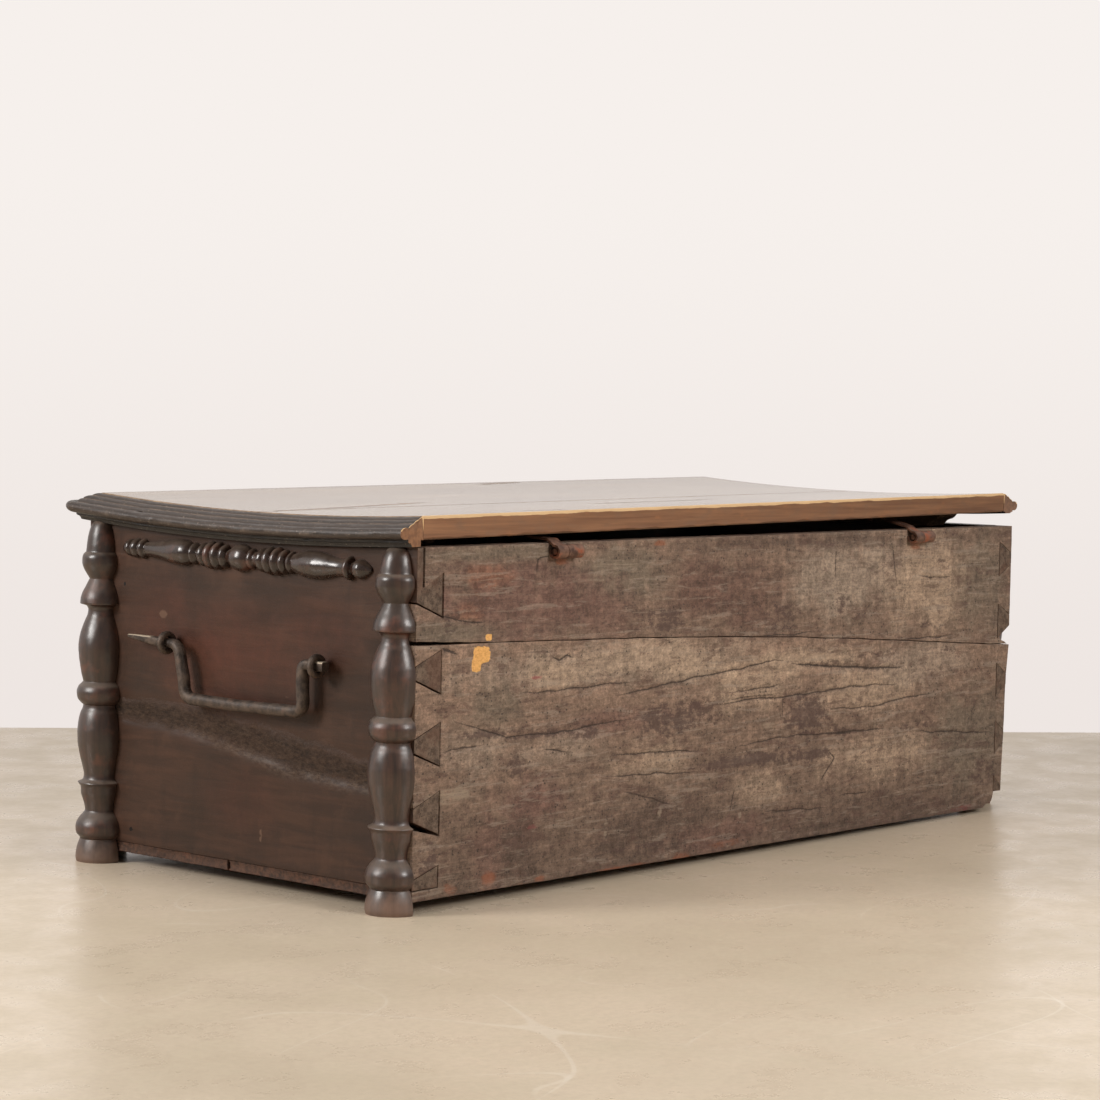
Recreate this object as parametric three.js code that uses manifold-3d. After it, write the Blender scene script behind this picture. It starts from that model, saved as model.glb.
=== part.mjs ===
// Low walnut chest: dovetailed boards, a moulded lid on loop hinges, half-round
// balusters and spindles on the faces, iron bail handles and an inside lock.
// Millimetres. +Z is up, +X runs along the chest towards its right end, the front faces -Y.
import * as THREE from 'three';
import { mergeVertices } from 'three/addons/utils/BufferGeometryUtils.js';
import Module from 'manifold-3d';

const wasm = await Module();
wasm.setup();

// Carcass boards
const bodyLength = 1360;
const bodyDepth = 600;
const boardHeight = 430;
const floorGap = 15.5;
const frontThick = 30;
const backThick = 30;
const bottomThick = 14;
const endThick = { right: 46, left: 35 };
const fit = 0.3;

// Dovetails, which run right through except that the right end's top tail stops short by the lap
const topLap = 11;
const pinRoot = 53;
const pinTip = 16;
const rightPinHeights = [121, 205, 293.5, 387];
const rightFootPin = { root: 56, tip: 42 };
const leftPinHeights = [28, 115, 205, 297, 394];

// Back joint and lower edge, which slope because the boards taper
const backJointRight = 329;
const backJointLeft = 259;
const backDropLeft = 9;
const bottomJointY = -24;

// Half-round balusters
const balusterInset = 31;
const leftBalusterInset = 50;
const frontBalusterInset = 36.5;
const balusterDrop = 1.5;
const balusterSides = 12;

// Spindles
const spindleDrop = 25.5;
const spindleRadius = 19;
const spindleEndRoom = 39;
const spindleShift = 8;
const spindleSlope = 7;
const spindleSides = 12;

// Lid. It is cupped from front to back and has risen at its left end.
const lidThick = 29;
const lidShift = 8.5;
const lidEndInset = 18.5;
const lidFrontInset = 10;
const lidJointY = 12;
const lidSeat = 2.6;
const lidLift = 13.9;
const lidFrontLift = 4.2;
const lidCup = 10.4;
const lidStations = 12;
const mouldingHang = { right: 8, left: 3 };
const mouldingRebate = 4.7;
const cornerWear = 24;
const noseRadius = 7.5;
const noseReach = 41;
const rubGap = 0.6;

// Lid battens
const battenWidth = 50;
const battenHeight = 20;
const battenEndGap = 9;
const battenSetback = 35;
const ogeeLength = 26;

// Hinges
const hingeSpread = 410;
const barrelLength = 60;
const barrelRadius = 9;
const hingePinRadius = 4;
const pinPlay = 0.3;
const burrSpread = 1.8;
const burrThick = 1.6;
const barrelDrop = 11;
const strapThick = 3;
const strapReach = 200;
const strapLegLength = 82;

// Bail handles
const eyeStandoff = 18;
const eyeThick = 8;
const eyeOuter = 13.5;
const eyeBore = 6.2;
const frontEye = { y: -125, z: 302.3 };
const backEye = { y: 150, z: 292.5 };
const bailDrop = 64;
const bailRadius = 7.5;
const bailNeckRadius = 5.5;
const clinchLength = 34;
const clinchThick = 6;

// Lock
const lockLength = 130;
const lockHeight = 90;
const lockDepth = 26;
const lockWall = 2.5;
const lockTopGap = 1.5;
const boltLength = 48;
const boltHeight = 12;
const boltDepth = 8;
const boltRetreat = 12;
const boltGuides = [-36, -20];
const guideWidth = 6;
const guideWall = 2.5;
const stapleWidth = 8;
const stapleBar = 4;
const stapleOpening = 11;
const staplePlateLength = 68;
const staplePlateThick = 3;
const keyholeRadius = 6;
const keyholeSlot = 7;
const keyholeDrop = 19;
const plateWidth = 58;
const plateHeight = 74;
const plateAbove = 18;
const plateGap = 3;
const plateThick = 2;

// Nails
const nailShank = 2;
const nailHead = 5.5;
const nailHeadHeight = 2.4;
const nailLength = 20;

// Planes that the pieces share
const halfLength = bodyLength / 2;
const halfDepth = bodyDepth / 2;
const bodyTop = floorGap + boardHeight;
const floorTop = floorGap + bottomThick;
const lidBoardLength = bodyLength - 2 * lidEndInset;
const spindleHeight = bodyTop - spindleDrop;
const plateTop = spindleHeight - spindleRadius - plateGap;
const keyholeHeight = plateTop - plateAbove;
const lidBoardFront = halfDepth - lidFrontInset;
const frontInner = -halfDepth + frontThick;
const backInner = halfDepth - backThick;
const hingeY = halfDepth + barrelRadius + fit;
const hingeZ = bodyTop - barrelDrop;
const evenPin = (z) => ({
  root: [z - pinRoot / 2, z + pinRoot / 2],
  tip: [z - pinTip / 2, z + pinTip / 2],
});
const footPin = { root: [floorTop, rightFootPin.root], tip: [floorTop, rightFootPin.tip] };
const ends = {
  right: {
    side: 1,
    thick: endThick.right,
    lap: topLap,
    pins: [footPin, ...rightPinHeights.map(evenPin)],
    inset: balusterInset,
    hang: mouldingHang.right,
  },
  left: {
    side: -1,
    thick: endThick.left,
    lap: 0,
    pins: leftPinHeights.map(evenPin),
    inset: leftBalusterInset,
    hang: mouldingHang.left,
  },
};
const topPinMiddle = (end) => {
  const [low, high] = end.pins[end.pins.length - 1].tip;
  return (low + high) / 2;
};

const walnut = new THREE.MeshStandardMaterial({ color: '#4b362b', roughness: 0.45 });
const turnedWalnut = new THREE.MeshStandardMaterial({ color: '#3c2822', roughness: 0.32 });
const rawWood = new THREE.MeshStandardMaterial({ color: '#6e6054', roughness: 0.9 });
const lidWalnut = new THREE.MeshStandardMaterial({ color: '#6b5a49', roughness: 0.5 });
const iron = new THREE.MeshStandardMaterial({ color: '#3b3733', roughness: 0.5, metalness: 0.8 });
const rustyIron = new THREE.MeshStandardMaterial({ color: '#6d4433', roughness: 0.8, metalness: 0.4 });

// Solids: a closed geometry becomes a solid that can be joined and cut
function solid(geometry) {
  const bare = new THREE.BufferGeometry();
  bare.setAttribute('position', geometry.attributes.position);
  bare.setIndex(geometry.index);
  const merged = mergeVertices(bare, 1e-4);
  const index = merged.index.array;
  const kept = [];
  for (let i = 0; i < index.length; i += 3) {
    const [a, b, c] = index.slice(i, i + 3);
    if (a !== b && b !== c && c !== a) {
      kept.push(a, b, c);
    }
  }
  return new wasm.Manifold(new wasm.Mesh({
    numProp: 3,
    vertProperties: merged.attributes.position.array,
    triVerts: new Uint32Array(kept),
  }));
}

function geometryOf(body) {
  const mesh = body.getMesh();
  const geometry = new THREE.BufferGeometry();
  geometry.setAttribute('position', new THREE.BufferAttribute(mesh.vertProperties, 3));
  geometry.setIndex(new THREE.BufferAttribute(mesh.triVerts, 1));
  return geometry;
}

function cut(body, tools) {
  let left = body;
  for (const tool of tools) {
    left = left.subtract(tool);
  }
  return left;
}

function join(bodies) {
  let whole = bodies[0];
  for (const body of bodies.slice(1)) {
    whole = whole.add(body);
  }
  return whole;
}

// A box from its lowest to its highest corner
function box(low, high) {
  const size = high.map((value, i) => value - low[i]);
  const geometry = new THREE.BoxGeometry(...size);
  geometry.translate(...low.map((value, i) => value + size[i] / 2));
  return solid(geometry);
}

function outlineShape(points) {
  return new THREE.Shape(points.map(([u, v]) => new THREE.Vector2(u, v)));
}

// A flat outline given thickness along its own Z
function thickened(shape, depth) {
  return new THREE.ExtrudeGeometry(shape, { depth, bevelEnabled: false, curveSegments: 8 });
}

// An outline of [y, z] points drawn out along X
function alongX(shape, x0, x1) {
  const geometry = thickened(shape, x1 - x0);
  geometry.applyMatrix4(new THREE.Matrix4().set(
    0, 0, 1, x0,
    1, 0, 0, 0,
    0, 1, 0, 0,
    0, 0, 0, 1,
  ));
  return geometry;
}

// An outline of [x, z] points drawn out along Y
function alongY(shape, y0, y1) {
  const geometry = thickened(shape, y1 - y0);
  geometry.applyMatrix4(new THREE.Matrix4().set(
    1, 0, 0, 0,
    0, 0, -1, y1,
    0, 1, 0, 0,
    0, 0, 0, 1,
  ));
  return geometry;
}

// The same geometry on the other end of the chest
function mirrored(geometry) {
  const copy = geometry.toNonIndexed();
  const p = copy.attributes.position;
  const flipped = [];
  for (let i = 0; i < p.count; i += 3) {
    for (const k of [i, i + 2, i + 1]) {
      flipped.push(-p.getX(k), p.getY(k), p.getZ(k));
    }
  }
  const result = new THREE.BufferGeometry();
  result.setAttribute('position', new THREE.Float32BufferAttribute(flipped, 3));
  return mergeVertices(result, 1e-4);
}

// A band of even thickness along a line of [u, v] points
function band(points, thickness) {
  const upper = [];
  const lower = [];
  points.forEach(([u, v], i) => {
    const before = points[Math.max(i - 1, 0)];
    const after = points[Math.min(i + 1, points.length - 1)];
    const a = new THREE.Vector2(u - before[0], v - before[1]).normalize();
    const b = new THREE.Vector2(after[0] - u, after[1] - v).normalize();
    const along = a.clone().add(b).normalize();
    const corner = along.dot(i > 0 ? a : b);
    const reach = thickness / 2 / corner;
    upper.push([u - along.y * reach, v + along.x * reach]);
    lower.unshift([u + along.y * reach, v - along.x * reach]);
  });
  return outlineShape([...upper, ...lower]);
}

function ring(centre, outer, bore, sides) {
  const shape = new THREE.Shape();
  const hole = new THREE.Path();
  for (let i = 0; i < sides; i += 1) {
    const angle = (i / sides) * 2 * Math.PI;
    const [c, s] = [Math.cos(angle), Math.sin(angle)];
    const step = i === 0 ? 'moveTo' : 'lineTo';
    shape[step](centre[0] + outer * c, centre[1] + outer * s);
    hole[step](centre[0] + bore * c, centre[1] - bore * s);
  }
  shape.closePath();
  hole.closePath();
  shape.holes.push(hole);
  return shape;
}

// A turned piece about Z from [height, radius] points, kept only where x is positive
function halfTurned(profile, sides) {
  const [low, high] = [profile[0][0], profile[profile.length - 1][0]];
  const points = [[low, 0], ...profile, [high, 0]].map(([z, r]) => new THREE.Vector2(r, z));
  const geometry = new THREE.LatheGeometry(points, sides);
  geometry.rotateX(Math.PI / 2);
  const reach = 2 * Math.max(...profile.map(([, r]) => r));
  const behind = box([-reach, -reach, low - 1], [0, reach, high + 1]);
  return geometryOf(solid(geometry).subtract(behind));
}

// Height of the lid's underside above the floor
function lidRise(x, y) {
  const away = (halfLength - x) / bodyLength;
  const forward = -y / halfDepth;
  return bodyTop + lidSeat + lidLift * away + lidFrontLift * forward + lidCup * forward ** 2;
}

// Bends a flat lid piece, made with its underside at z = 0, to the lid's real form
function warped(geometry) {
  const p = geometry.attributes.position;
  for (let i = 0; i < p.count; i += 1) {
    p.setZ(i, p.getZ(i) + lidRise(p.getX(i), p.getY(i)));
  }
  return geometry;
}

// Even steps across the lid from y0 to y1
function stations(y0, y1) {
  const count = Math.max(2, Math.round((lidStations * (y1 - y0)) / bodyDepth));
  return Array.from({ length: count + 1 }, (_, i) => y0 + ((y1 - y0) * i) / count);
}

// A flat slab outline in [y, z] with a point at each station, so that it can be cupped
function slabOutline(y0, y1, z0, z1) {
  const steps = stations(y0, y1);
  return outlineShape([...steps.map((y) => [y, z0]), ...steps.reverse().map((y) => [y, z1])]);
}

// A pin of an end board, which lies between two tails of the front or back board
function pinPrism(end, pin, grow, y0, y1) {
  const tip = halfLength + 1;
  const root = halfLength - end.thick;
  const outline = [
    [end.side * root, pin.root[0] - grow],
    [end.side * tip, pin.tip[0] - grow],
    [end.side * tip, pin.tip[1] + grow],
    [end.side * root, pin.root[1] + grow],
  ];
  return solid(alongY(outlineShape(end.side > 0 ? outline : outline.reverse()), y0, y1));
}

// Chips broken from the left end of the back
function chip(points) {
  const geometry = new THREE.BufferGeometry();
  geometry.setAttribute('position', new THREE.Float32BufferAttribute(points.flat(), 3));
  geometry.setIndex([0, 1, 2, 0, 3, 1, 0, 2, 3, 1, 3, 2]);
  return solid(geometry);
}

const chips = [
  chip([
    [-halfLength + 32, halfDepth + 1, 268],
    [-halfLength - 1, halfDepth - 32, 268],
    [-halfLength - 1, halfDepth + 1, 252],
    [-halfLength - 1, halfDepth + 1, 289],
  ]),
  chip([
    [-halfLength + 62, halfDepth + 1, floorGap - backDropLeft - 1],
    [-halfLength - 1, halfDepth - 54, floorGap - backDropLeft - 1],
    [-halfLength - 1, halfDepth + 1, floorGap - backDropLeft - 1],
    [-halfLength - 1, halfDepth + 1, floorGap + 14],
  ]),
  chip([
    [-halfLength + 26, halfDepth + 1, 56],
    [-halfLength - 1, halfDepth - 26, 56],
    [-halfLength - 1, halfDepth + 1, 50],
    [-halfLength - 1, halfDepth + 1, 59],
  ]),
];

// A front or back board with a tail at each end for every gap between pins
function tailedBoard(y0, y1, low) {
  const blank = box([-halfLength, y0, low], [halfLength, y1, bodyTop]);
  const sockets = [];
  const cutBack = (end, length, z0, z1) => {
    const [x0, x1] = [end.side * (halfLength - length), end.side * (halfLength + 1)].sort((a, b) => a - b);
    sockets.push(box([x0, y0 - 1, z0], [x1, y1 + 1, z1]));
  };
  for (const end of Object.values(ends)) {
    for (const pin of end.pins) {
      sockets.push(pinPrism(end, pin, fit, y0 - 1, y1 + 1));
    }
    const [foot] = end.pins;
    if (foot.root[0] < low) {
      cutBack(end, end.thick, low - 1, (foot.tip[0] + foot.tip[1]) / 2);
    }
    if (end.lap > 0) {
      cutBack(end, end.lap + fit, topPinMiddle(end), bodyTop + 1);
    }
  }
  return cut(blank, sockets);
}

function keyholeShape(grow) {
  const shape = new THREE.Shape();
  const half = keyholeSlot / 2 + grow;
  const radius = keyholeRadius + grow;
  const spread = Math.asin(half / radius);
  shape.absarc(0, keyholeHeight, radius, -Math.PI / 2 + spread, 1.5 * Math.PI - spread, false);
  shape.lineTo(-half, keyholeHeight - keyholeDrop - grow);
  shape.lineTo(half, keyholeHeight - keyholeDrop - grow);
  shape.closePath();
  return shape;
}

function frontBoard() {
  const keyhole = solid(alongY(keyholeShape(0), -halfDepth - 1, frontInner + 1));
  return cut(tailedBoard(-halfDepth, frontInner, floorGap), [keyhole]);
}

// The part of the back between two sloping lines, each given by its heights at the two ends
function backStrip(whole, [lowLeft, lowRight], [highLeft, highRight]) {
  const outline = outlineShape([
    [-halfLength, highLeft], [-halfLength, lowLeft], [halfLength, lowRight], [halfLength, highRight],
  ]);
  return whole.intersect(solid(alongY(outline, backInner - 1, halfDepth + 1)));
}

function backBoards() {
  const low = floorGap - backDropLeft;
  const cuts = [...chips, ...tangSlots(), ...nailHoles(backStrapNails())];
  const whole = cut(tailedBoard(backInner, halfDepth, low), cuts);
  const joint = (offset) => [backJointLeft + offset, backJointRight + offset];
  return {
    upper: backStrip(whole, joint(fit), [bodyTop, bodyTop]),
    lower: backStrip(whole, [low, floorGap], joint(-fit)),
  };
}

// The end board's top is worn hollow where the lid moulding rubs on it
function endTop(end, y) {
  const moulding = lidRise(end.side * halfLength, y) - end.hang - rubGap;
  return Math.min(bodyTop, moulding);
}

function endBoard(end) {
  const outline = (y0, y1) => outlineShape([
    [y0, floorTop],
    [y1, floorTop],
    ...stations(y0, y1).reverse().map((y) => [y, endTop(end, y)]),
  ]);
  const slab = (y0, y1, x0, x1) => {
    const [low, high] = [end.side * x0, end.side * x1].sort((a, b) => a - b);
    return solid(alongX(outline(y0, y1), low, high));
  };
  const root = halfLength - end.thick;
  const pieces = [slab(frontInner + fit, backInner - fit, root, halfLength)];
  if (end.lap > 0) {
    const below = box([0, -halfDepth - 1, 0], [halfLength + 1, halfDepth + 1, topPinMiddle(end)]);
    pieces.push(slab(-halfDepth, halfDepth, halfLength - end.lap, halfLength).subtract(below));
  }
  const pinLimit = join([
    slab(-halfDepth, frontInner + 1, root, halfLength),
    slab(backInner - 1, halfDepth, root, halfLength),
  ]);
  for (const pin of end.pins) {
    for (const [y0, y1] of [[-halfDepth, frontInner + 1], [backInner - 1, halfDepth]]) {
      pieces.push(pinPrism(end, pin, 0, y0, y1).intersect(pinLimit));
    }
  }
  const hole = eyeThick / 2 + fit;
  const [inside, outside] = [end.side * (root - 1), end.side * (halfLength + 1)].sort((a, b) => a - b);
  const tangHoles = [frontEye, backEye].map(({ y, z }) => box(
    [inside, y - hole, z - hole],
    [outside, y + hole, z + hole],
  ));
  return cut(join(pieces), [...tangHoles, ...chips]);
}

function bottomBoard(y0, y1) {
  return cut(box([-halfLength, y0, floorGap], [halfLength, y1, floorTop - fit]), chips);
}

// Outline of the tall balusters, from the foot on the floor to the tip under the lid
const balusterProfile = [
  [0, 34.5], [8, 35], [22, 31.5], [29.5, 28],
  [30, 26.5], [36, 33], [46, 35], [57, 31], [65, 23.5],
  [74, 22.8], [94, 30], [99, 34], [107, 26.5],
  [116, 23.8], [138, 30], [160, 33.7], [178, 33.5], [198, 29], [207, 25.5],
  [214, 33.5], [222, 35], [231, 33.5], [238.5, 26],
  [256, 31], [274, 33], [292, 32], [310, 28], [330, 20.5], [341, 20.5],
  [342.5, 31], [350, 30.3], [366, 23.8], [376, 18.5],
  [388, 24.5], [399, 28.3], [411, 27],
  [414, 22.5], [430, 19.5], [439, 15], [444, 6],
];

function baluster(place) {
  const stretch = (bodyTop - balusterDrop) / balusterProfile[balusterProfile.length - 1][0];
  const geometry = halfTurned(balusterProfile.map(([z, r]) => [z * stretch, r]), balusterSides);
  geometry.rotateZ(place.turn);
  geometry.translate(place.x, place.y, 0);
  return geometry;
}

// Half of the spindle's outline, measured from its middle out to one tip
const spindleHalfProfile = [
  [0, spindleRadius], [10, 18], [22, 10.5],
  [30, 16.8], [35, 15.2], [41, 18.6], [47.5, 16.4], [54, 18.6],
  [60, 15.2], [65, 16.8], [73, 11], [80, 14.8], [87, 10.5],
  [104, 16.8], [120, 18], [146, 14.4], [178, 9.5],
  [181, 15.5], [187, 17], [193, 9.5],
  [202, 15], [210, 15], [220, 9], [230, 3],
];

// A spindle between two balusters, given their spacing and how much its far end drops
function spindle(spacing, middle, turn, drop) {
  const length = spacing - 2 * spindleEndRoom;
  const stretch = length / (2 * spindleHalfProfile[spindleHalfProfile.length - 1][0]);
  const outward = spindleHalfProfile.map(([d, r]) => [d * stretch, r]);
  const inward = outward.slice(1).reverse().map(([d, r]) => [-d, r]);
  const geometry = halfTurned([...inward, ...outward], spindleSides);
  geometry.rotateX(Math.PI / 2);
  geometry.rotateX(-Math.atan(drop / length));
  geometry.rotateZ(turn);
  geometry.translate(...middle);
  return geometry;
}

// Section of the lid moulding: [outward from the lid board, up from the underside]
function mouldingSection(hang) {
  const nose = [];
  const centre = [noseReach - noseRadius, 1 + noseRadius];
  for (let i = 0; i <= 5; i += 1) {
    const angle = THREE.MathUtils.degToRad(125 - i * 43);
    nose.push([centre[0] + noseRadius * Math.cos(angle), centre[1] + noseRadius * Math.sin(angle)]);
  }
  return [
    [fit, lidThick - 0.6], [4, lidThick - 0.8], [7.6, lidThick - 3.2], [8.2, lidThick - 5.4],
    [12, lidThick - 5], [16.4, lidThick - 7.4], [17.2, lidThick - 9.8],
    [21, lidThick - 9.4], [25.4, lidThick - 11.8], [26.2, lidThick - 14],
    ...nose,
    [27, 0.4], [26, -0.3 * hang], [21.8, -0.55 * hang], [20.6, -0.8 * hang], [19.4, -hang],
    [mouldingRebate, -hang], [mouldingRebate, 0], [fit, 0],
  ];
}

// Sweeps a moulding through frames, each with its own section, and closes both ends
function sweptSection(frames) {
  const section = frames[0].section;
  const count = section.length;
  const positions = [];
  for (const frame of frames) {
    for (const [out, up] of frame.section) {
      positions.push(...frame.place(out), up);
    }
  }
  const index = [];
  for (let k = 0; k + 1 < frames.length; k += 1) {
    for (let i = 0; i < count; i += 1) {
      const j = (i + 1) % count;
      const [a, b, c, d] = [k * count + i, k * count + j, (k + 1) * count + j, (k + 1) * count + i];
      index.push(a, b, c, a, c, d);
    }
  }
  const contour = section.map(([u, v]) => new THREE.Vector2(u, v));
  const last = (frames.length - 1) * count;
  for (const [a, b, c] of THREE.ShapeUtils.triangulateShape(contour, [])) {
    const corners = [contour[a], contour[b], contour[c]];
    const sameWay = THREE.ShapeUtils.area(corners) * THREE.ShapeUtils.area(contour) > 0;
    const [d, e] = sameWay ? [b, c] : [c, b];
    index.push(a, e, d, last + a, last + d, last + e);
  }
  const geometry = new THREE.BufferGeometry();
  geometry.setAttribute('position', new THREE.Float32BufferAttribute(positions, 3));
  geometry.setIndex(index);
  return geometry;
}

// Turns a closed geometry's faces outwards
function outwards(geometry) {
  if (solid(geometry).volume() < 0) {
    const index = geometry.index.array;
    for (let i = 0; i < index.length; i += 3) {
      [index[i + 1], index[i + 2]] = [index[i + 2], index[i + 1]];
    }
  }
  return geometry;
}

const lidEdge = (side) => lidShift + (side * lidBoardLength) / 2;

// The moulding's corners are worn round where its two runs meet
function wornRound(geometry) {
  const [left, right] = [lidEdge(-1) - noseReach, lidEdge(1) + noseReach];
  const front = -lidBoardFront - noseReach;
  const plan = new THREE.Shape();
  plan.moveTo(right, halfDepth);
  plan.lineTo(left, halfDepth);
  plan.lineTo(left, front + cornerWear);
  plan.absarc(left + cornerWear, front + cornerWear, cornerWear, Math.PI, 1.5 * Math.PI, false);
  plan.lineTo(right - cornerWear, front);
  plan.absarc(right - cornerWear, front + cornerWear, cornerWear, -Math.PI / 2, 0, false);
  plan.closePath();
  const limit = thickened(plan, 2 * lidThick);
  limit.translate(0, 0, noseRadius - lidThick);
  return geometryOf(solid(geometry).intersect(solid(limit)));
}

function endMoulding(end) {
  const section = mouldingSection(end.hang);
  const frames = stations(-lidBoardFront, halfDepth).map((y, i, all) => ({
    section,
    place: (out) => {
      const front = -lidBoardFront - out;
      return [lidEdge(end.side) + end.side * out, front + ((halfDepth - front) * i) / (all.length - 1)];
    },
  }));
  return warped(wornRound(outwards(sweptSection(frames))));
}

function frontMoulding() {
  const frames = [ends.left, ends.right].map((end) => ({
    section: mouldingSection(end.hang),
    place: (out) => [lidEdge(end.side) + end.side * (out - Math.SQRT2 * fit), -lidBoardFront - out],
  }));
  return warped(wornRound(outwards(sweptSection(frames))));
}

function lidBoard(y0, y1) {
  return warped(alongX(slabOutline(y0, y1, 0, lidThick), lidEdge(-1), lidEdge(1)));
}

// A batten under the lid with an ogee at each end
function lidBatten(side) {
  const x1 = halfLength - endThick.right - battenEndGap;
  const [low, high] = [side * x1, side * (x1 - battenWidth)].sort((a, b) => a - b);
  const reach = backInner - battenSetback;
  const ogee = Array.from({ length: 7 }, (_, i) => {
    const t = i / 6;
    const wave = t + Math.sin(2 * Math.PI * t) / (2 * Math.PI) * 0.8;
    return [ogeeLength * (1 - t), -battenHeight * wave];
  });
  const top = stations(-reach, reach).map((y) => [y, -fit]);
  const level = stations(-reach + ogeeLength, reach - ogeeLength);
  const bottom = level.reverse().map((y) => [y, -battenHeight]);
  const back = ogee.slice(1, -1).map(([d, z]) => [reach - ogeeLength + d, z]);
  const front = ogee.slice(1, -1).reverse().map(([d, z]) => [-reach + ogeeLength - d, z]);
  const shape = outlineShape([...front, ...top, ...back, ...bottom].reverse());
  return warped(alongX(shape, low, high));
}

// Hinges: the lid's loop is on the right half of each barrel and the body's on the left half
function hingeLoop(x0, x1, line) {
  const loop = alongX(ring([hingeY, hingeZ], barrelRadius, hingePinRadius + pinPlay, 14), x0, x1);
  const strap = alongX(band(line, strapThick), x0, x1);
  return solid(loop).add(solid(strap));
}

function lidStrapLine(x) {
  const under = (y) => lidRise(x, y) - fit - strapThick / 2 - 0.1;
  const run = [50, 95, 140, 170, strapReach].map((back) => [halfDepth - back, under(halfDepth - back)]);
  return [
    [hingeY + 2, hingeZ + barrelRadius - 2],
    [halfDepth - 3, bodyTop + 4],
    ...run,
  ];
}

const barrelHalf = barrelLength / 2;

function lidStrap(x) {
  const loop = hingeLoop(x + 1, x + barrelHalf, lidStrapLine(x + barrelHalf));
  return cut(loop, nailHoles(lidStrapNails(x)));
}

const tangZ = hingeZ - barrelRadius + strapThick / 2;
const legY = backInner - fit - strapThick / 2;

function backStrap(x) {
  const line = [[hingeY, tangZ], [legY, tangZ], [legY, tangZ - strapLegLength]];
  const loop = hingeLoop(x - barrelHalf, x - 1, line);
  return cut(loop, nailHoles(backStrapNails().filter((nail) => Math.abs(nail.x - x) < barrelHalf)));
}

function tangSlots() {
  return [-hingeSpread, hingeSpread].map((x) => box(
    [x - barrelHalf - fit, backInner - 1, tangZ - strapThick / 2 - fit],
    [x - 1 + fit, halfDepth + 1, tangZ + strapThick / 2 + fit],
  ));
}

// A pin with both ends burred over outside the barrel
function hingePin(x) {
  const pin = new THREE.CylinderGeometry(hingePinRadius, hingePinRadius, barrelLength + 2 * fit + 1, 14);
  const parts = [pin.rotateZ(Math.PI / 2)];
  for (const side of [-1, 1]) {
    const burr = new THREE.CylinderGeometry(hingePinRadius, hingePinRadius + burrSpread, burrThick, 14);
    burr.rotateZ(side > 0 ? -Math.PI / 2 : Math.PI / 2);
    burr.translate(side * (barrelHalf + fit + burrThick / 2), 0, 0);
    parts.push(burr);
  }
  return geometryOf(join(parts.map(solid))).translate(x, hingeY, hingeZ);
}

// Nails: a domed head on the face at the given point, the shank along the given direction
function nailGeometry(grow) {
  const points = [
    [0, nailLength + grow], [nailShank + grow, nailLength + grow], [nailShank + grow, -fit],
    [nailHead + grow, -fit], [nailHead * 0.7 + grow, -fit - nailHeadHeight * 0.75 - grow],
    [0, -fit - nailHeadHeight - grow],
  ];
  return new THREE.LatheGeometry(points.reverse().map(([r, z]) => new THREE.Vector2(r, z)), 8);
}

function placedNail(nail, grow) {
  const geometry = nailGeometry(grow);
  const turn = new THREE.Quaternion().setFromUnitVectors(
    new THREE.Vector3(0, 1, 0),
    new THREE.Vector3(...nail.along).normalize(),
  );
  geometry.applyQuaternion(turn);
  geometry.translate(nail.x, nail.y, nail.z);
  return geometry;
}

function nailHoles(nails) {
  return nails.map((nail) => solid(placedNail(nail, 0.2)));
}

function lidStrapNails(x) {
  const middle = x + (1 + barrelHalf) / 2;
  return [75, 125, 178].map((back) => {
    const y = halfDepth - back;
    const slope = lidRise(middle, y + 1) - lidRise(middle, y);
    return { x: middle, y, z: lidRise(middle, y) - fit - strapThick - 0.45, along: [0, -slope, 1] };
  });
}

function backStrapNails() {
  const nails = [];
  for (const x of [-hingeSpread, hingeSpread]) {
    for (const drop of [38, 66]) {
      nails.push({
        x: x - (1 + barrelHalf) / 2,
        y: legY - strapThick / 2,
        z: tangZ - drop,
        along: [0, 1, 0],
      });
    }
  }
  return nails;
}

// Bail handles: an eye driven through the end board and clinched inside, and the bail in its eyes
function eye(place, inner) {
  const x = halfLength + eyeStandoff;
  const loop = alongY(ring([x, place.z], eyeOuter, eyeBore, 16), -eyeThick / 2, eyeThick / 2);
  const low = place.z - eyeThick / 2;
  const high = place.z + eyeThick / 2;
  const tang = alongY(outlineShape([
    [inner - fit - clinchThick, high],
    [inner - fit - clinchThick, low - clinchLength],
    [inner - fit, low - clinchLength],
    [inner - fit, low],
    [x - eyeBore - 2.5, low],
    [x - eyeBore - 2.5, high],
  ]), -eyeThick / 2, eyeThick / 2);
  return geometryOf(solid(loop).add(solid(tang))).translate(0, place.y, 0);
}

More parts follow.
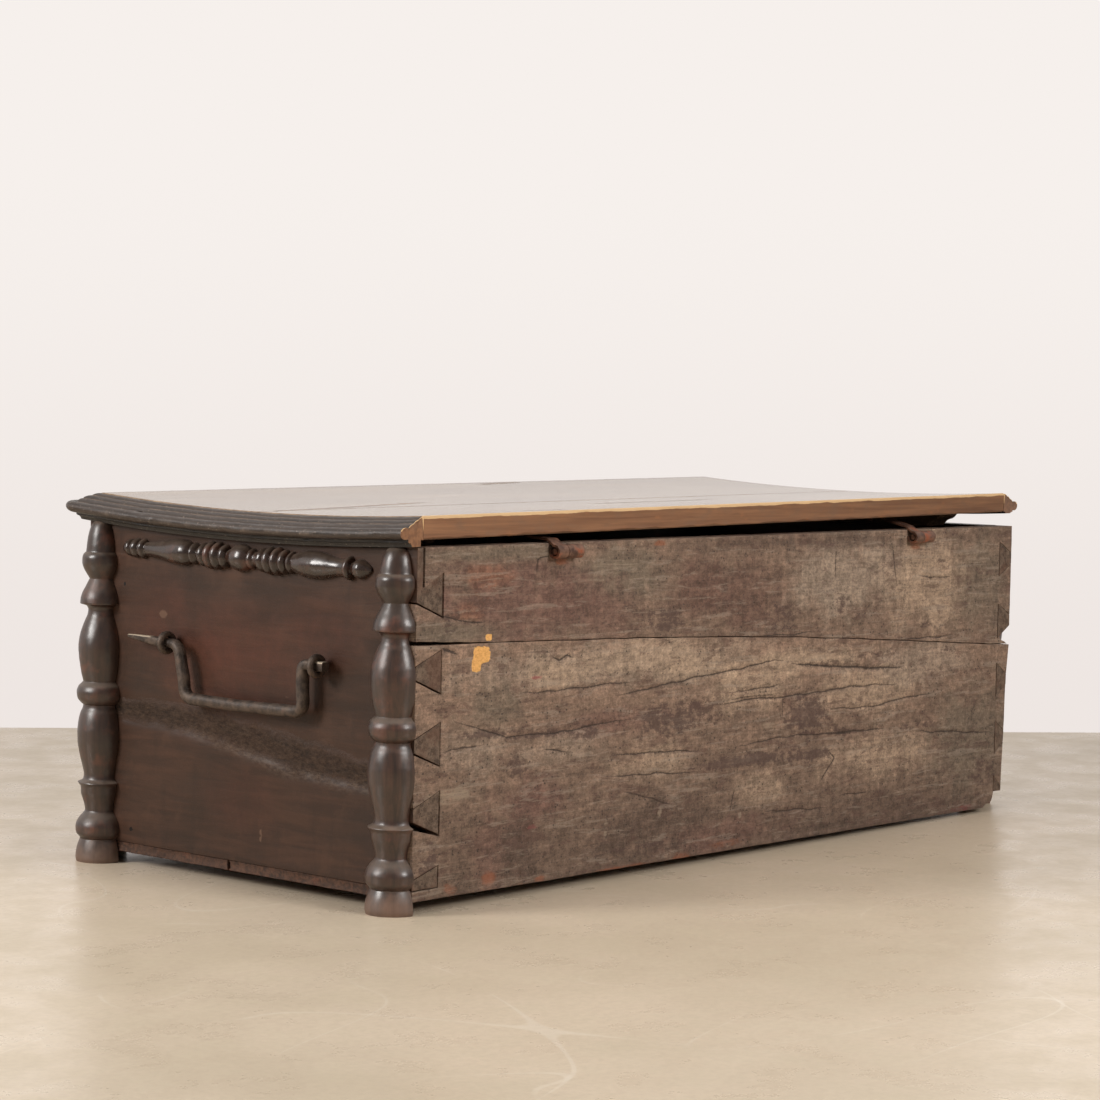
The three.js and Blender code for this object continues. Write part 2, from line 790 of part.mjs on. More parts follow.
// A round bar along [y, z] points in a plane of constant x, with a radius at each point
function roundBar(x, points, sides) {
  const rings = points.map(([y, z], i) => {
    const before = points[Math.max(i - 1, 0)];
    const after = points[Math.min(i + 1, points.length - 1)];
    const along = new THREE.Vector2(after[0] - before[0], after[1] - before[1]).normalize();
    return { y, z, radius: points[i][2], side: [-along.y, along.x] };
  });
  const positions = [];
  for (const { y, z, radius, side } of rings) {
    for (let k = 0; k < sides; k += 1) {
      const angle = (k / sides) * 2 * Math.PI;
      const across = radius * Math.cos(angle);
      positions.push(x + radius * Math.sin(angle), y + across * side[0], z + across * side[1]);
    }
  }
  const index = [];
  const last = (rings.length - 1) * sides;
  for (let i = 0; i + 1 < rings.length; i += 1) {
    for (let k = 0; k < sides; k += 1) {
      const n = (k + 1) % sides;
      const [a, b, c, d] = [i * sides + k, i * sides + n, (i + 1) * sides + n, (i + 1) * sides + k];
      index.push(a, b, c, a, c, d);
    }
  }
  for (let k = 1; k + 1 < sides; k += 1) {
    index.push(0, k + 1, k, last, last + k, last + k + 1);
  }
  const geometry = new THREE.BufferGeometry();
  geometry.setAttribute('position', new THREE.Float32BufferAttribute(positions, 3));
  geometry.setIndex(index);
  return outwards(geometry);
}

// Rounds the corners of a line of [y, z, radius, bend] points
function roundedLine(points) {
  const line = [];
  points.forEach((point, i) => {
    if (!point[3]) {
      line.push(point.slice(0, 3));
      return;
    }
    const corner = new THREE.Vector2(point[0], point[1]);
    const [before, after] = [points[i - 1], points[i + 1]].map(([y, z]) => (
      new THREE.Vector2(y, z).sub(corner).setLength(point[3]).add(corner)
    ));
    const curve = new THREE.QuadraticBezierCurve(before, corner, after);
    for (const p of curve.getPoints(4)) {
      line.push([p.x, p.y, point[2]]);
    }
  });
  return line;
}

function bail() {
  const slope = (backEye.z - frontEye.z) / (backEye.y - frontEye.y);
  const axisZ = (y) => frontEye.z + slope * (y - frontEye.y);
  const bottom = (frontEye.z + backEye.z) / 2 - bailDrop;
  const at = (y, radius, bend) => [y, axisZ(y), radius, bend];
  const outline = [
    at(frontEye.y - 74, 2.2),
    at(frontEye.y - 10, bailNeckRadius),
    at(frontEye.y + 7, bailNeckRadius),
    at(frontEye.y + 21, 7, 9),
    [frontEye.y + 32, (bottom + axisZ(frontEye.y + 21)) / 2, bailRadius + 0.6],
    [frontEye.y + 36, bottom, bailRadius, 15],
    [(frontEye.y + backEye.y) / 2, bottom - 1.5, bailRadius - 0.8],
    [backEye.y - 21, bottom, bailRadius, 15],
    [backEye.y - 22.5, (bottom + axisZ(backEye.y)) / 2, bailRadius + 0.6],
    at(backEye.y - 22, 6.6, 9),
    at(backEye.y - 8, bailNeckRadius),
    at(backEye.y + 22, bailNeckRadius - 0.4),
  ];
  return roundBar(halfLength + eyeStandoff, roundedLine(outline), 10);
}

// Lock: an open box behind the front board, a bolt in two guides, and a staple on the lid
const lockTop = bodyTop - lockTopGap;
const lockBack = frontInner + fit + lockDepth;
const boltZ = lockTop - 17;
const boltY = frontInner + fit + lockDepth / 2 - 1;

function lockCase() {
  const half = lockLength / 2;
  const shell = box([-half, frontInner + fit, lockTop - lockHeight], [half, lockBack, lockTop]);
  const hollow = box(
    [-half + lockWall, frontInner + fit - 1, lockTop - lockHeight + lockWall],
    [half - lockWall, lockBack - lockWall, lockTop - lockWall],
  );
  const slot = box(
    [-stapleWidth / 2 - 2.5, boltY - stapleOpening / 2 - stapleBar - 2, lockTop - lockWall - 1],
    [stapleWidth / 2 + 2.5, boltY + stapleOpening / 2 + stapleBar + 2, lockTop + 1],
  );
  const guides = boltGuides.map((x) => box(
    [x, boltY - boltDepth / 2 - fit - guideWall, boltZ - boltHeight / 2 - fit - guideWall],
    [x + guideWidth, lockBack - lockWall + 0.5, boltZ + boltHeight / 2 + fit + guideWall],
  ));
  const boltWay = box(
    [-half + lockWall, boltY - boltDepth / 2 - fit, boltZ - boltHeight / 2 - fit],
    [0, boltY + boltDepth / 2 + fit, boltZ + boltHeight / 2 + fit],
  );
  return join([cut(shell, [hollow, slot]), ...guides]).subtract(boltWay);
}

function lockBolt() {
  return box(
    [-boltRetreat - boltLength, boltY - boltDepth / 2, boltZ - boltHeight / 2],
    [-boltRetreat, boltY + boltDepth / 2, boltZ + boltHeight / 2],
  );
}

function lidStaple() {
  const top = lidRise(0, boltY) - fit;
  const inner = boltZ - boltHeight / 2 - 2.5;
  const half = stapleOpening / 2;
  const shape = outlineShape([
    [boltY - half - stapleBar, top - 1.5], [boltY - half - stapleBar, inner - stapleBar],
    [boltY + half + stapleBar, inner - stapleBar], [boltY + half + stapleBar, top - 1.5],
    [boltY + half, top - 1.5], [boltY + half, inner],
    [boltY - half, inner], [boltY - half, top - 1.5],
  ]);
  const loop = solid(alongX(shape, -stapleWidth / 2, stapleWidth / 2));
  const [y0, y1] = [boltY - half - stapleBar - 2, boltY + half + stapleBar + 2];
  const [z0, z1] = [-fit - staplePlateThick, -fit];
  const plate = alongX(
    outlineShape([[y0, z0], [y1, z0], [y1, z1], [y0, z1]]),
    -staplePlateLength / 2,
    staplePlateLength / 2,
  );
  return loop.add(solid(warped(plate)));
}

function lockPlate() {
  const low = plateTop - plateHeight;
  const half = plateWidth / 2;
  const shape = outlineShape([
    [-half, low + 14], [-half + 10, low + 8], [-8, low + 6], [0, low],
    [8, low + 6], [half - 10, low + 8], [half, low + 14],
    [half, plateTop - 8], [half - 8, plateTop], [-half + 8, plateTop], [-half, plateTop - 8],
  ]);
  const plate = solid(alongY(shape, -halfDepth - fit - plateThick, -halfDepth - fit));
  const keyhole = solid(alongY(keyholeShape(-0.5), -halfDepth - 9, -halfDepth + 1));
  return cut(plate, [keyhole, ...nailHoles(plateNails())]);
}

function plateNails() {
  const spots = [[-1, -12], [1, -12], [-1, -plateHeight + 22], [1, -plateHeight + 22]];
  return spots.map(([side, drop]) => ({
    x: side * (plateWidth / 2 - 8),
    y: -halfDepth - fit - plateThick,
    z: plateTop + drop,
    along: [0, 1, 0],
  }));
}

// The chest, moved so that its origin is under the middle of its outer box
const frontReach = halfDepth + fit + Math.max(...balusterProfile.map(([, r]) => r));
const backReach = hingeY + barrelRadius;
const chest = new THREE.Group();
chest.position.y = (frontReach - backReach) / 2;

function add(name, piece, material) {
  const geometry = piece.isBufferGeometry ? geometryOf(solid(piece)) : geometryOf(piece);
  const mesh = new THREE.Mesh(geometry, material);
  mesh.name = name;
  chest.add(mesh);
}

add('front_board', cut(frontBoard(), nailHoles(plateNails())), walnut);
const back = backBoards();
add('back_board_upper', back.upper, rawWood);
add('back_board_lower', back.lower, rawWood);
add('end_board_right', endBoard(ends.right), walnut);
add('end_board_left', endBoard(ends.left), walnut);
add('bottom_board_front', bottomBoard(frontInner + fit, bottomJointY - fit), rawWood);
add('bottom_board_back', bottomBoard(bottomJointY, backInner - fit), rawWood);

for (const [name, end] of Object.entries(ends)) {
  for (const [row, side] of [['front', -1], ['back', 1]]) {
    add(`baluster_${name}_${row}`, baluster({
      x: end.side * (halfLength + fit),
      y: side * (halfDepth - end.inset),
      turn: end.side > 0 ? 0 : Math.PI,
    }), turnedWalnut);
  }
}

const frontSpacing = (2 * (halfLength - frontBalusterInset)) / 3;
for (let i = 0; i < 4; i += 1) {
  add(`baluster_front_${i + 1}`, baluster({
    x: -halfLength + frontBalusterInset + i * frontSpacing,
    y: -halfDepth - fit,
    turn: -Math.PI / 2,
  }), turnedWalnut);
}
for (let i = 0; i < 3; i += 1) {
  const middle = [(i - 1) * frontSpacing, -halfDepth - fit, spindleHeight];
  add(`spindle_front_${i + 1}`, spindle(frontSpacing, middle, -Math.PI / 2, 0), turnedWalnut);
}
add('spindle_right', spindle(
  2 * (halfDepth - balusterInset),
  [halfLength + fit, spindleShift, spindleHeight],
  0,
  spindleSlope,
), turnedWalnut);
add('spindle_left', spindle(
  2 * (halfDepth - leftBalusterInset),
  [-halfLength - fit, 0, spindleHeight],
  Math.PI,
  0,
), turnedWalnut);

add('lid_board_front', lidBoard(-lidBoardFront, lidJointY - fit), lidWalnut);
const hingeXs = { right: hingeSpread, left: -hingeSpread };
const strapNails = [...lidStrapNails(hingeXs.right), ...lidStrapNails(hingeXs.left)];
add('lid_board_back', cut(solid(lidBoard(lidJointY, halfDepth)), nailHoles(strapNails)), lidWalnut);
add('lid_moulding_right', endMoulding(ends.right), walnut);
add('lid_moulding_left', endMoulding(ends.left), walnut);
add('lid_moulding_front', frontMoulding(), walnut);
add('lid_batten_right', lidBatten(1), rawWood);
add('lid_batten_left', lidBatten(-1), rawWood);

for (const [name, x] of Object.entries(hingeXs)) {
  add(`hinge_${name}_lid_strap`, lidStrap(x), rustyIron);
  add(`hinge_${name}_back_strap`, backStrap(x), rustyIron);
  add(`hinge_${name}_pin`, hingePin(x), rustyIron);
  lidStrapNails(x).forEach((nail, i) => {
    add(`hinge_${name}_lid_nail_${i + 1}`, placedNail(nail, 0), rustyIron);
  });
  backStrapNails().filter((nail) => Math.abs(nail.x - x) < barrelLength).forEach((nail, i) => {
    add(`hinge_${name}_back_nail_${i + 1}`, placedNail(nail, 0), rustyIron);
  });
}

for (const [name, end] of Object.entries(ends)) {
  const inner = halfLength - end.thick;
  const onEnd = (geometry) => (end.side > 0 ? geometry : mirrored(geometry));
  add(`bail_${name}_eye_front`, onEnd(eye(frontEye, inner)), iron);
  add(`bail_${name}_eye_back`, onEnd(eye(backEye, inner)), iron);
  add(`bail_${name}`, onEnd(bail()), iron);
}

add('lock_case', lockCase(), iron);
add('lock_bolt', lockBolt(), iron);
add('lid_staple', lidStaple(), iron);
add('lock_plate', lockPlate(), iron);
plateNails().forEach((nail, i) => {
  add(`lock_plate_nail_${i + 1}`, placedNail(nail, 0), iron);
});

export default chest;
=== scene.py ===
import math

import bmesh
import bpy
import numpy as np
from mathutils import Matrix, Vector, geometry, kdtree, noise

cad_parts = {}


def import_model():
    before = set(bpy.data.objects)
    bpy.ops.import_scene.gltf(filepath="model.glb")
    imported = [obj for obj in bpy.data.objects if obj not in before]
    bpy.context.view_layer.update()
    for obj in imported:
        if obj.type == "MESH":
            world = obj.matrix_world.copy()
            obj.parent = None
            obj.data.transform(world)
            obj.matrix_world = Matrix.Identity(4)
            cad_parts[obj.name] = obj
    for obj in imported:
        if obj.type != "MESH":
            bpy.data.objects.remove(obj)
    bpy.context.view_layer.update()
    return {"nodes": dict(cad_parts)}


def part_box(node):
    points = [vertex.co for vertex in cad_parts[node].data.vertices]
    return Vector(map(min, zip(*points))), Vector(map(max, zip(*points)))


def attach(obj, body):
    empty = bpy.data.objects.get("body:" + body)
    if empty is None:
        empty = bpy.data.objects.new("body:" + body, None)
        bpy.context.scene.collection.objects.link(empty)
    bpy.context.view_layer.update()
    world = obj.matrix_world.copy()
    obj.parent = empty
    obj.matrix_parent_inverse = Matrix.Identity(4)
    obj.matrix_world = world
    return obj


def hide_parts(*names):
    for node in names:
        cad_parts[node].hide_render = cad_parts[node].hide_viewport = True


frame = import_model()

# Sizes. Shapes are written in chest millimetres: x along, y towards the back, z up from the floor.
MM = 0.001
end_low, end_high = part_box("end_board_right")
left_low, left_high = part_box("end_board_left")
upper_low, upper_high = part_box("back_board_upper")
MID_Y = (end_low.y + end_high.y) / 2
HALF_LENGTH = end_high.x / MM
HALF_DEPTH = (end_high.y - MID_Y) / MM
BODY_TOP = upper_high.z / MM
FLOOR_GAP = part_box("front_board")[0].z / MM
FLOOR_TOP = end_low.z / MM
BACK_THICK = (upper_high.y - upper_low.y) / MM
END_THICK = {"right": (end_high.x - end_low.x) / MM, "left": (left_high.x - left_low.x) / MM}
INNER_Y = HALF_DEPTH - BACK_THICK
FIT = 0.3

# Dovetails, in the same places as on the frame's boards
PIN_ROOT = 53
PIN_TIP = 16
TOP_LAP = 11
PIN_HEIGHTS = {"right": [121, 205, 293.5, 387], "left": [28, 115, 205, 297, 394]}
FOOT_PIN = {"root": (FLOOR_TOP, 56), "tip": (FLOOR_TOP, 42)}
BACK_JOINT = {"right": 329, "left": 259}
JOINT_BOW = 10.5
JOINT_OPEN = 2.2
JOINT_OPENS_AT = 560
BACK_DROP = {"right": 0, "left": 9}

# Lid, cupped from front to back and raised at its left end
LID_THICK = 29
LID_SHIFT = 8.5
LID_END_INSET = 18.5
LID_FRONT_INSET = 10
LID_JOINT_Y = 12
LID_SEAT = 2.6
LID_LIFT = 13.9
LID_FRONT_LIFT = 4.2
LID_CUP = 10.4
NOSE_REACH = 40.2
CORNER_WEAR = 24
HANG = {"right": 8, "left": 3}
LID_ROOM = {"right": 0.8, "left": 0.6}
SIDE = {"right": 1, "left": -1}


# Colours as they look, from 0 to 255
def srgb(red, green, blue):
    def linear(value):
        share = value / 255
        return share / 12.92 if share <= 0.04045 else ((share + 0.055) / 1.055) ** 2.4

    return (linear(red), linear(green), linear(blue), 1.0)


# Smooth noise from -1 to 1 at each point, with a size in millimetres
def ripple(points, size, seed):
    offset = Vector((seed * 17.31, seed * 5.77, seed * 11.13))
    return np.array([noise.noise(Vector(p) / size + offset) for p in points])


def three(points):
    flat = np.asarray(points, float)
    return np.column_stack([flat, np.zeros(len(flat))]) if flat.shape[1] == 2 else flat


# Pieces
def world(points):
    return np.asarray(points, float) * MM + (0, MID_Y, 0)


def joined(parts):
    points = []
    faces = []
    for part_points, part_faces in parts:
        start = sum(len(p) for p in points)
        points.append(np.asarray(part_points, float))
        faces.extend([tuple(start + i for i in face) for face in part_faces])
    return np.vstack(points), faces


def make_piece(name, parts, look, body, marks=None, smooth=38):
    """One piece in place of the frame's node of that name; edges sharper than smooth stay sharp"""
    points, faces = joined(parts)
    mesh = bpy.data.meshes.new(f"{name}_form")
    mesh.from_pydata(world(points).tolist(), [], faces)
    mesh.materials.append(look)
    shell = bmesh.new()
    shell.from_mesh(mesh)
    bmesh.ops.recalc_face_normals(shell, faces=shell.faces)
    shell.to_mesh(mesh)
    shell.free()
    mesh.shade_smooth()
    mesh.set_sharp_from_angle(angle=math.radians(smooth))
    for mark, values in (marks(points) if marks else {}).items():
        if values.ndim == 2:
            layer = mesh.attributes.new(mark, "FLOAT_COLOR", "POINT")
            layer.data.foreach_set("color", values.astype(np.float32).ravel())
        else:
            layer = mesh.attributes.new(mark, "FLOAT", "POINT")
            layer.data.foreach_set("value", values.astype(np.float32))
    piece = bpy.data.objects.new(f"{name}_form", mesh)
    bpy.context.scene.collection.objects.link(piece)
    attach(piece, body)
    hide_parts(name)


# A skin over rings of points, all of the same length
def loft(rings, closed=True, caps=True):
    rings = np.asarray(rings, float)
    count, around = rings.shape[:2]
    faces = []
    for i in range(count - 1):
        for k in range(around if closed else around - 1):
            n = (k + 1) % around
            faces.append((i * around + k, i * around + n, (i + 1) * around + n, (i + 1) * around + k))
    if caps:
        faces.append(tuple(reversed(range(around))))
        faces.append(tuple(range((count - 1) * around, count * around)))
    return rings.reshape(-1, 3), faces


# A smooth curve through points, which keeps their rises and falls and never overshoots
def smooth_curve(points, step):
    points = np.asarray(points, float)
    at, value = points[:, 0], points[:, 1]
    gaps = np.diff(at)
    slopes = np.diff(value) / gaps
    bend = np.zeros(len(at))
    bend[0], bend[-1] = slopes[0], slopes[-1]
    for i in range(1, len(at) - 1):
        if slopes[i - 1] * slopes[i] > 0:
            before, after = 2 * gaps[i] + gaps[i - 1], gaps[i] + 2 * gaps[i - 1]
            bend[i] = (before + after) / (before / slopes[i - 1] + after / slopes[i])
    curve = []
    for i, gap in enumerate(gaps):
        count = max(2, math.ceil(gap / step))
        for k in range(count):
            t = k / count
            curve.append((
                at[i] + t * gap,
                (1 + 2 * t) * (1 - t) ** 2 * value[i] + t * (1 - t) ** 2 * gap * bend[i]
                + t * t * (3 - 2 * t) * value[i + 1] - t * t * (1 - t) * gap * bend[i + 1],
            ))
    curve.append((at[-1], value[-1]))
    return curve


# Boards. An outline lies in the seen face, and place(u, v, depth) puts it in the chest.
def resampled(outline, step):
    points = []
    for (u0, v0), (u1, v1) in zip(outline, outline[1:] + outline[:1]):
        count = max(1, round(math.hypot(u1 - u0, v1 - v0) / step))
        points += [(u0 + (u1 - u0) * i / count, v0 + (v1 - v0) * i / count) for i in range(count)]
    return np.array(points)


def area_of(loop):
    ahead = np.roll(loop, -1, 0)
    return (loop[:, 0] * ahead[:, 1] - ahead[:, 0] * loop[:, 1]).sum() / 2


# At each point of a loop, the step that moves both its sides inwards by one
def inward_steps(loop):
    ahead = np.roll(loop, -1, 0) - loop
    ahead /= np.linalg.norm(ahead, axis=1)[:, None]
    behind = np.roll(ahead, 1, 0)
    turn = 1 + (ahead * behind).sum(1)
    both = ahead + behind
    return np.column_stack([-both[:, 1], both[:, 0]]) / np.maximum(turn, 0.7)[:, None]


def inside(points, loop):
    result = np.zeros(len(points), bool)
    for (u0, v0), (u1, v1) in zip(loop, np.roll(loop, -1, 0)):
        if v0 != v1:
            across = (v0 > points[:, 1]) != (v1 > points[:, 1])
            crossing = u0 + (points[:, 1] - v0) * (u1 - u0) / (v1 - v0)
            result ^= across & (points[:, 0] < crossing)
    return result


def far_from(points, loop, reach):
    ahead = np.roll(loop, -1, 0)
    keep = np.ones(len(points), bool)
    for start, end in zip(loop, ahead):
        low, high = np.minimum(start, end) - reach, np.maximum(start, end) + reach
        near = keep & (points > low).all(1) & (points < high).all(1)
        if near.any():
            keep[near] = np.hypot(*(points[near] - start).T) > reach
    return keep


def filled(loops, spacing, extra):
    """Points inside the loops, and triangles over the loops' own points followed by these"""
    outer = loops[0]
    low, high = outer.min(0), outer.max(0)
    rows = np.arange(low[1] + spacing / 2, high[1], spacing)
    columns = np.arange(low[0] + spacing / 2, high[0], spacing)
    grid = np.stack(np.meshgrid(columns, rows), -1)
    grid[::2, :, 0] += spacing / 2
    grid = grid.reshape(-1, 2)
    grid = grid[inside(grid, outer)]
    for loop in loops:
        grid = grid[far_from(grid, loop, 0.7 * spacing)]
    for hole in loops[1:]:
        grid = grid[~inside(grid, hole)]
    if len(extra):
        extra = extra[inside(extra, outer) & far_from(extra, outer, 2.5)]
        tree = kdtree.KDTree(len(extra))
        for i, point in enumerate(three(extra)):
            tree.insert(point, i)
        tree.balance()
        grid = grid[[tree.find(point)[2] > 0.6 * spacing for point in three(grid)]]
        grid = np.vstack([extra, grid])
    points = np.vstack([*loops, grid])
    edges = []
    start = 0
    for loop in loops:
        edges += [(start + i, start + (i + 1) % len(loop)) for i in range(len(loop))]
        start += len(loop)
    result = geometry.delaunay_2d_cdt([Vector(p) for p in points], edges, [], 1, 1e-6)
    source = []
    for place, origins in zip(result[0], result[3]):
        nearest = origins[0] if origins else int(np.hypot(*(points - np.array(place)).T).argmin())
        source.append(nearest)
    triangles = np.array([[source[i] for i in face] for face in result[2]])
    triangles = triangles[[len(set(face)) == 3 for face in triangles.tolist()]]
    middles = points[triangles].mean(1)
    kept = inside(middles, outer)
    for hole in loops[1:]:
        kept &= ~inside(middles, hole)
    return grid, triangles[kept]


def board(
    outline, thickness, place,
    spacing=6, back_spacing=45, edge=2.2, ragged=0.6, seed=1, holes=(), sides=1, extra=(), relief=None,
):
    loops = []
    for i, line in enumerate([outline, *holes]):
        loop = resampled(line, spacing)
        if (area_of(loop) > 0) == (i > 0):
            loop = loop[::-1]
        loop = loop + inward_steps(loop) * (ragged * (1 + ripple(three(loop), 28, seed)))[:, None]
        loops.append(loop)
    counts = [len(loop) for loop in loops]
    line = np.vstack(loops)
    steps = np.vstack([inward_steps(loop) for loop in loops])
    soft = edge * (0.85 + 0.9 * ripple(three(line), 22, seed + 3))
    soft = np.clip(soft, 0.3 * edge, 1.8 * edge)[:, None]
    rings = []
    for degrees in (90, 60, 30, 0):
        angle = math.radians(degrees)
        flat = line + steps * soft * (1 - math.cos(angle))
        rings.append(np.column_stack([flat, soft * (1 - math.sin(angle))]))
    for i in range(1, sides):
        level = np.full((len(line), 1), thickness * i / sides)
        wander = ripple(np.column_stack([line, level]), 14, seed + 9)[:, None]
        rings.append(np.column_stack([line + steps * ragged * (0.8 + 1.6 * wander), level]))
    rings.append(np.column_stack([line, thickness - soft]))
    rings.append(np.column_stack([line + steps * soft, np.full((len(line), 1), thickness)]))
    points = []
    faces = []
    for k, ring in enumerate(rings):
        points.append(ring)
        if k + 1 < len(rings):
            base = k * len(line)
            first = 0
            for count in counts:
                for i in range(count):
                    a, b = base + first + i, base + first + (i + 1) % count
                    faces.append((a, b, b + len(line), a + len(line)))
                first += count
    for ring, gap, level in ((0, spacing, 0.0), (len(rings) - 1, back_spacing, thickness)):
        splits = np.split(rings[ring][:, :2], np.cumsum(counts)[:-1])
        grid, triangles = filled(splits, gap, extra if ring == 0 else ())
        start = sum(len(p) for p in points)
        own = np.where(triangles < len(line), triangles + ring * len(line), triangles - len(line) + start)
        faces += [tuple(face) for face in own.tolist()]
        depth = relief(grid) if relief and ring == 0 else np.full(len(grid), level)
        points.append(np.column_stack([grid, depth]))
    flat = np.vstack(points)
    return np.array([place(*p) for p in flat]), faces


def back_face(u, v, depth):
    return (u, HALF_DEPTH - depth, v)


def front_face(u, v, depth):
    return (u, -HALF_DEPTH + depth, v)


def right_face(u, v, depth):
    return (HALF_LENGTH - depth, u, v)


def left_face(u, v, depth):
    return (-HALF_LENGTH + depth, u, v)


# Dovetail outlines, as [x, z] points that go up one end of a board
def pins_of(end):
    even = [
        {"root": (z - PIN_ROOT / 2, z + PIN_ROOT / 2), "tip": (z - PIN_TIP / 2, z + PIN_TIP / 2)}
        for z in PIN_HEIGHTS[end]
    ]
    return [FOOT_PIN, *even] if end == "right" else even


# How far the right corner's joints have opened, from the foot up: at the pin's lower edge by the
# board's end, at the root of that edge, and along the root
OPENED = [(0.8, 0.6, 0.5), (8.5, 2.4, 1.6), (1.8, 1.3, 0.5), (1.7, 1.4, 0.6), (1.6, 2.2, 2.4)]
LAP_OPENED = 2.6


def socket(end, pin, opened=(FIT, FIT, FIT)):
    tip_gap, low_gap, root_gap = opened
    root = SIDE[end] * (HALF_LENGTH - END_THICK[end] - root_gap)
    tip = SIDE[end] * HALF_LENGTH
    return [
        (tip, pin["tip"][0] - tip_gap),
        (root, pin["root"][0] - low_gap),
        (root, pin["root"][1] + FIT),
        (tip, pin["tip"][1] + FIT),
    ]


def tail_edge(end, low, high):
    tip = SIDE[end] * HALF_LENGTH
    root = SIDE[end] * (HALF_LENGTH - END_THICK[end])
    edge = [(tip, low)] if end == "right" else [(root, low)]
    for pin, opened in zip(pins_of(end), OPENED):
        if end == "left":
            opened = (FIT, FIT, FIT)
        if pin["root"][0] > low - 1 and pin["root"][1] < high + 1:
            edge += socket(end, pin, opened)
        elif pin["root"][0] <= low - 1 and pin["root"][1] > low:
            edge += socket(end, pin, opened)[2:]
    if end == "right" and high > BODY_TOP - 1:
        lap = tip - TOP_LAP - LAP_OPENED
        edge[-1] = (lap, edge[-1][1])
        edge.append((lap, high))
    else:
        edge.append((tip, high))
    return edge


def joint_height(x):
    """The joint between the back's boards: it slopes, bows upwards in the middle and wavers a little"""
    share = (x + HALF_LENGTH) / (2 * HALF_LENGTH)
    bow = JOINT_BOW * max(0.0, math.sin(math.pi * share)) ** 1.3
    waver = 0.9 * noise.noise(Vector((x / 70, 3, 0))) + 0.5 * noise.noise(Vector((x / 18, 9, 0)))
    return BACK_JOINT["left"] + share * (BACK_JOINT["right"] - BACK_JOINT["left"]) + bow + waver


def joint_gap(x):
    """Half the joint's width, which opens towards the right corner"""
    uneven = FIT * (0.4 + 1.2 * abs(noise.noise(Vector((x / 45, 5, 0)))))
    return uneven + JOINT_OPEN * max(0.0, (x - JOINT_OPENS_AT) / 120)


WORN_HEIGHTS = (52, 127, 215, 250)
WORN_DEPTHS = (13, 8.5, 6, 1.5)
WORN_TOP = 256


def worn_end(outline):
    """The left corner's edge, worn back more and more towards the floor"""
    limits = [-HALF_LENGTH + np.interp(z, WORN_HEIGHTS, WORN_DEPTHS) for _, z in outline]
    return [(max(x, limit) if z < WORN_TOP else x, z) for (x, z), limit in zip(outline, limits)]


# What one node gives, written in sums: value + 1, value * other and so on
class Value:
    def __init__(self, nodes, output):
        self.nodes = nodes
        self.output = output

    def __add__(self, other):
        return self.nodes.math("ADD", self, other)

    def __sub__(self, other):
        return self.nodes.math("SUBTRACT", self, other)

    def __rsub__(self, other):
        return self.nodes.math("SUBTRACT", other, self)

    def __mul__(self, other):
        return self.nodes.math("MULTIPLY", self, other)

    def __abs__(self):
        return self.nodes.math("ABSOLUTE", self)

    __radd__ = __add__
    __rmul__ = __mul__


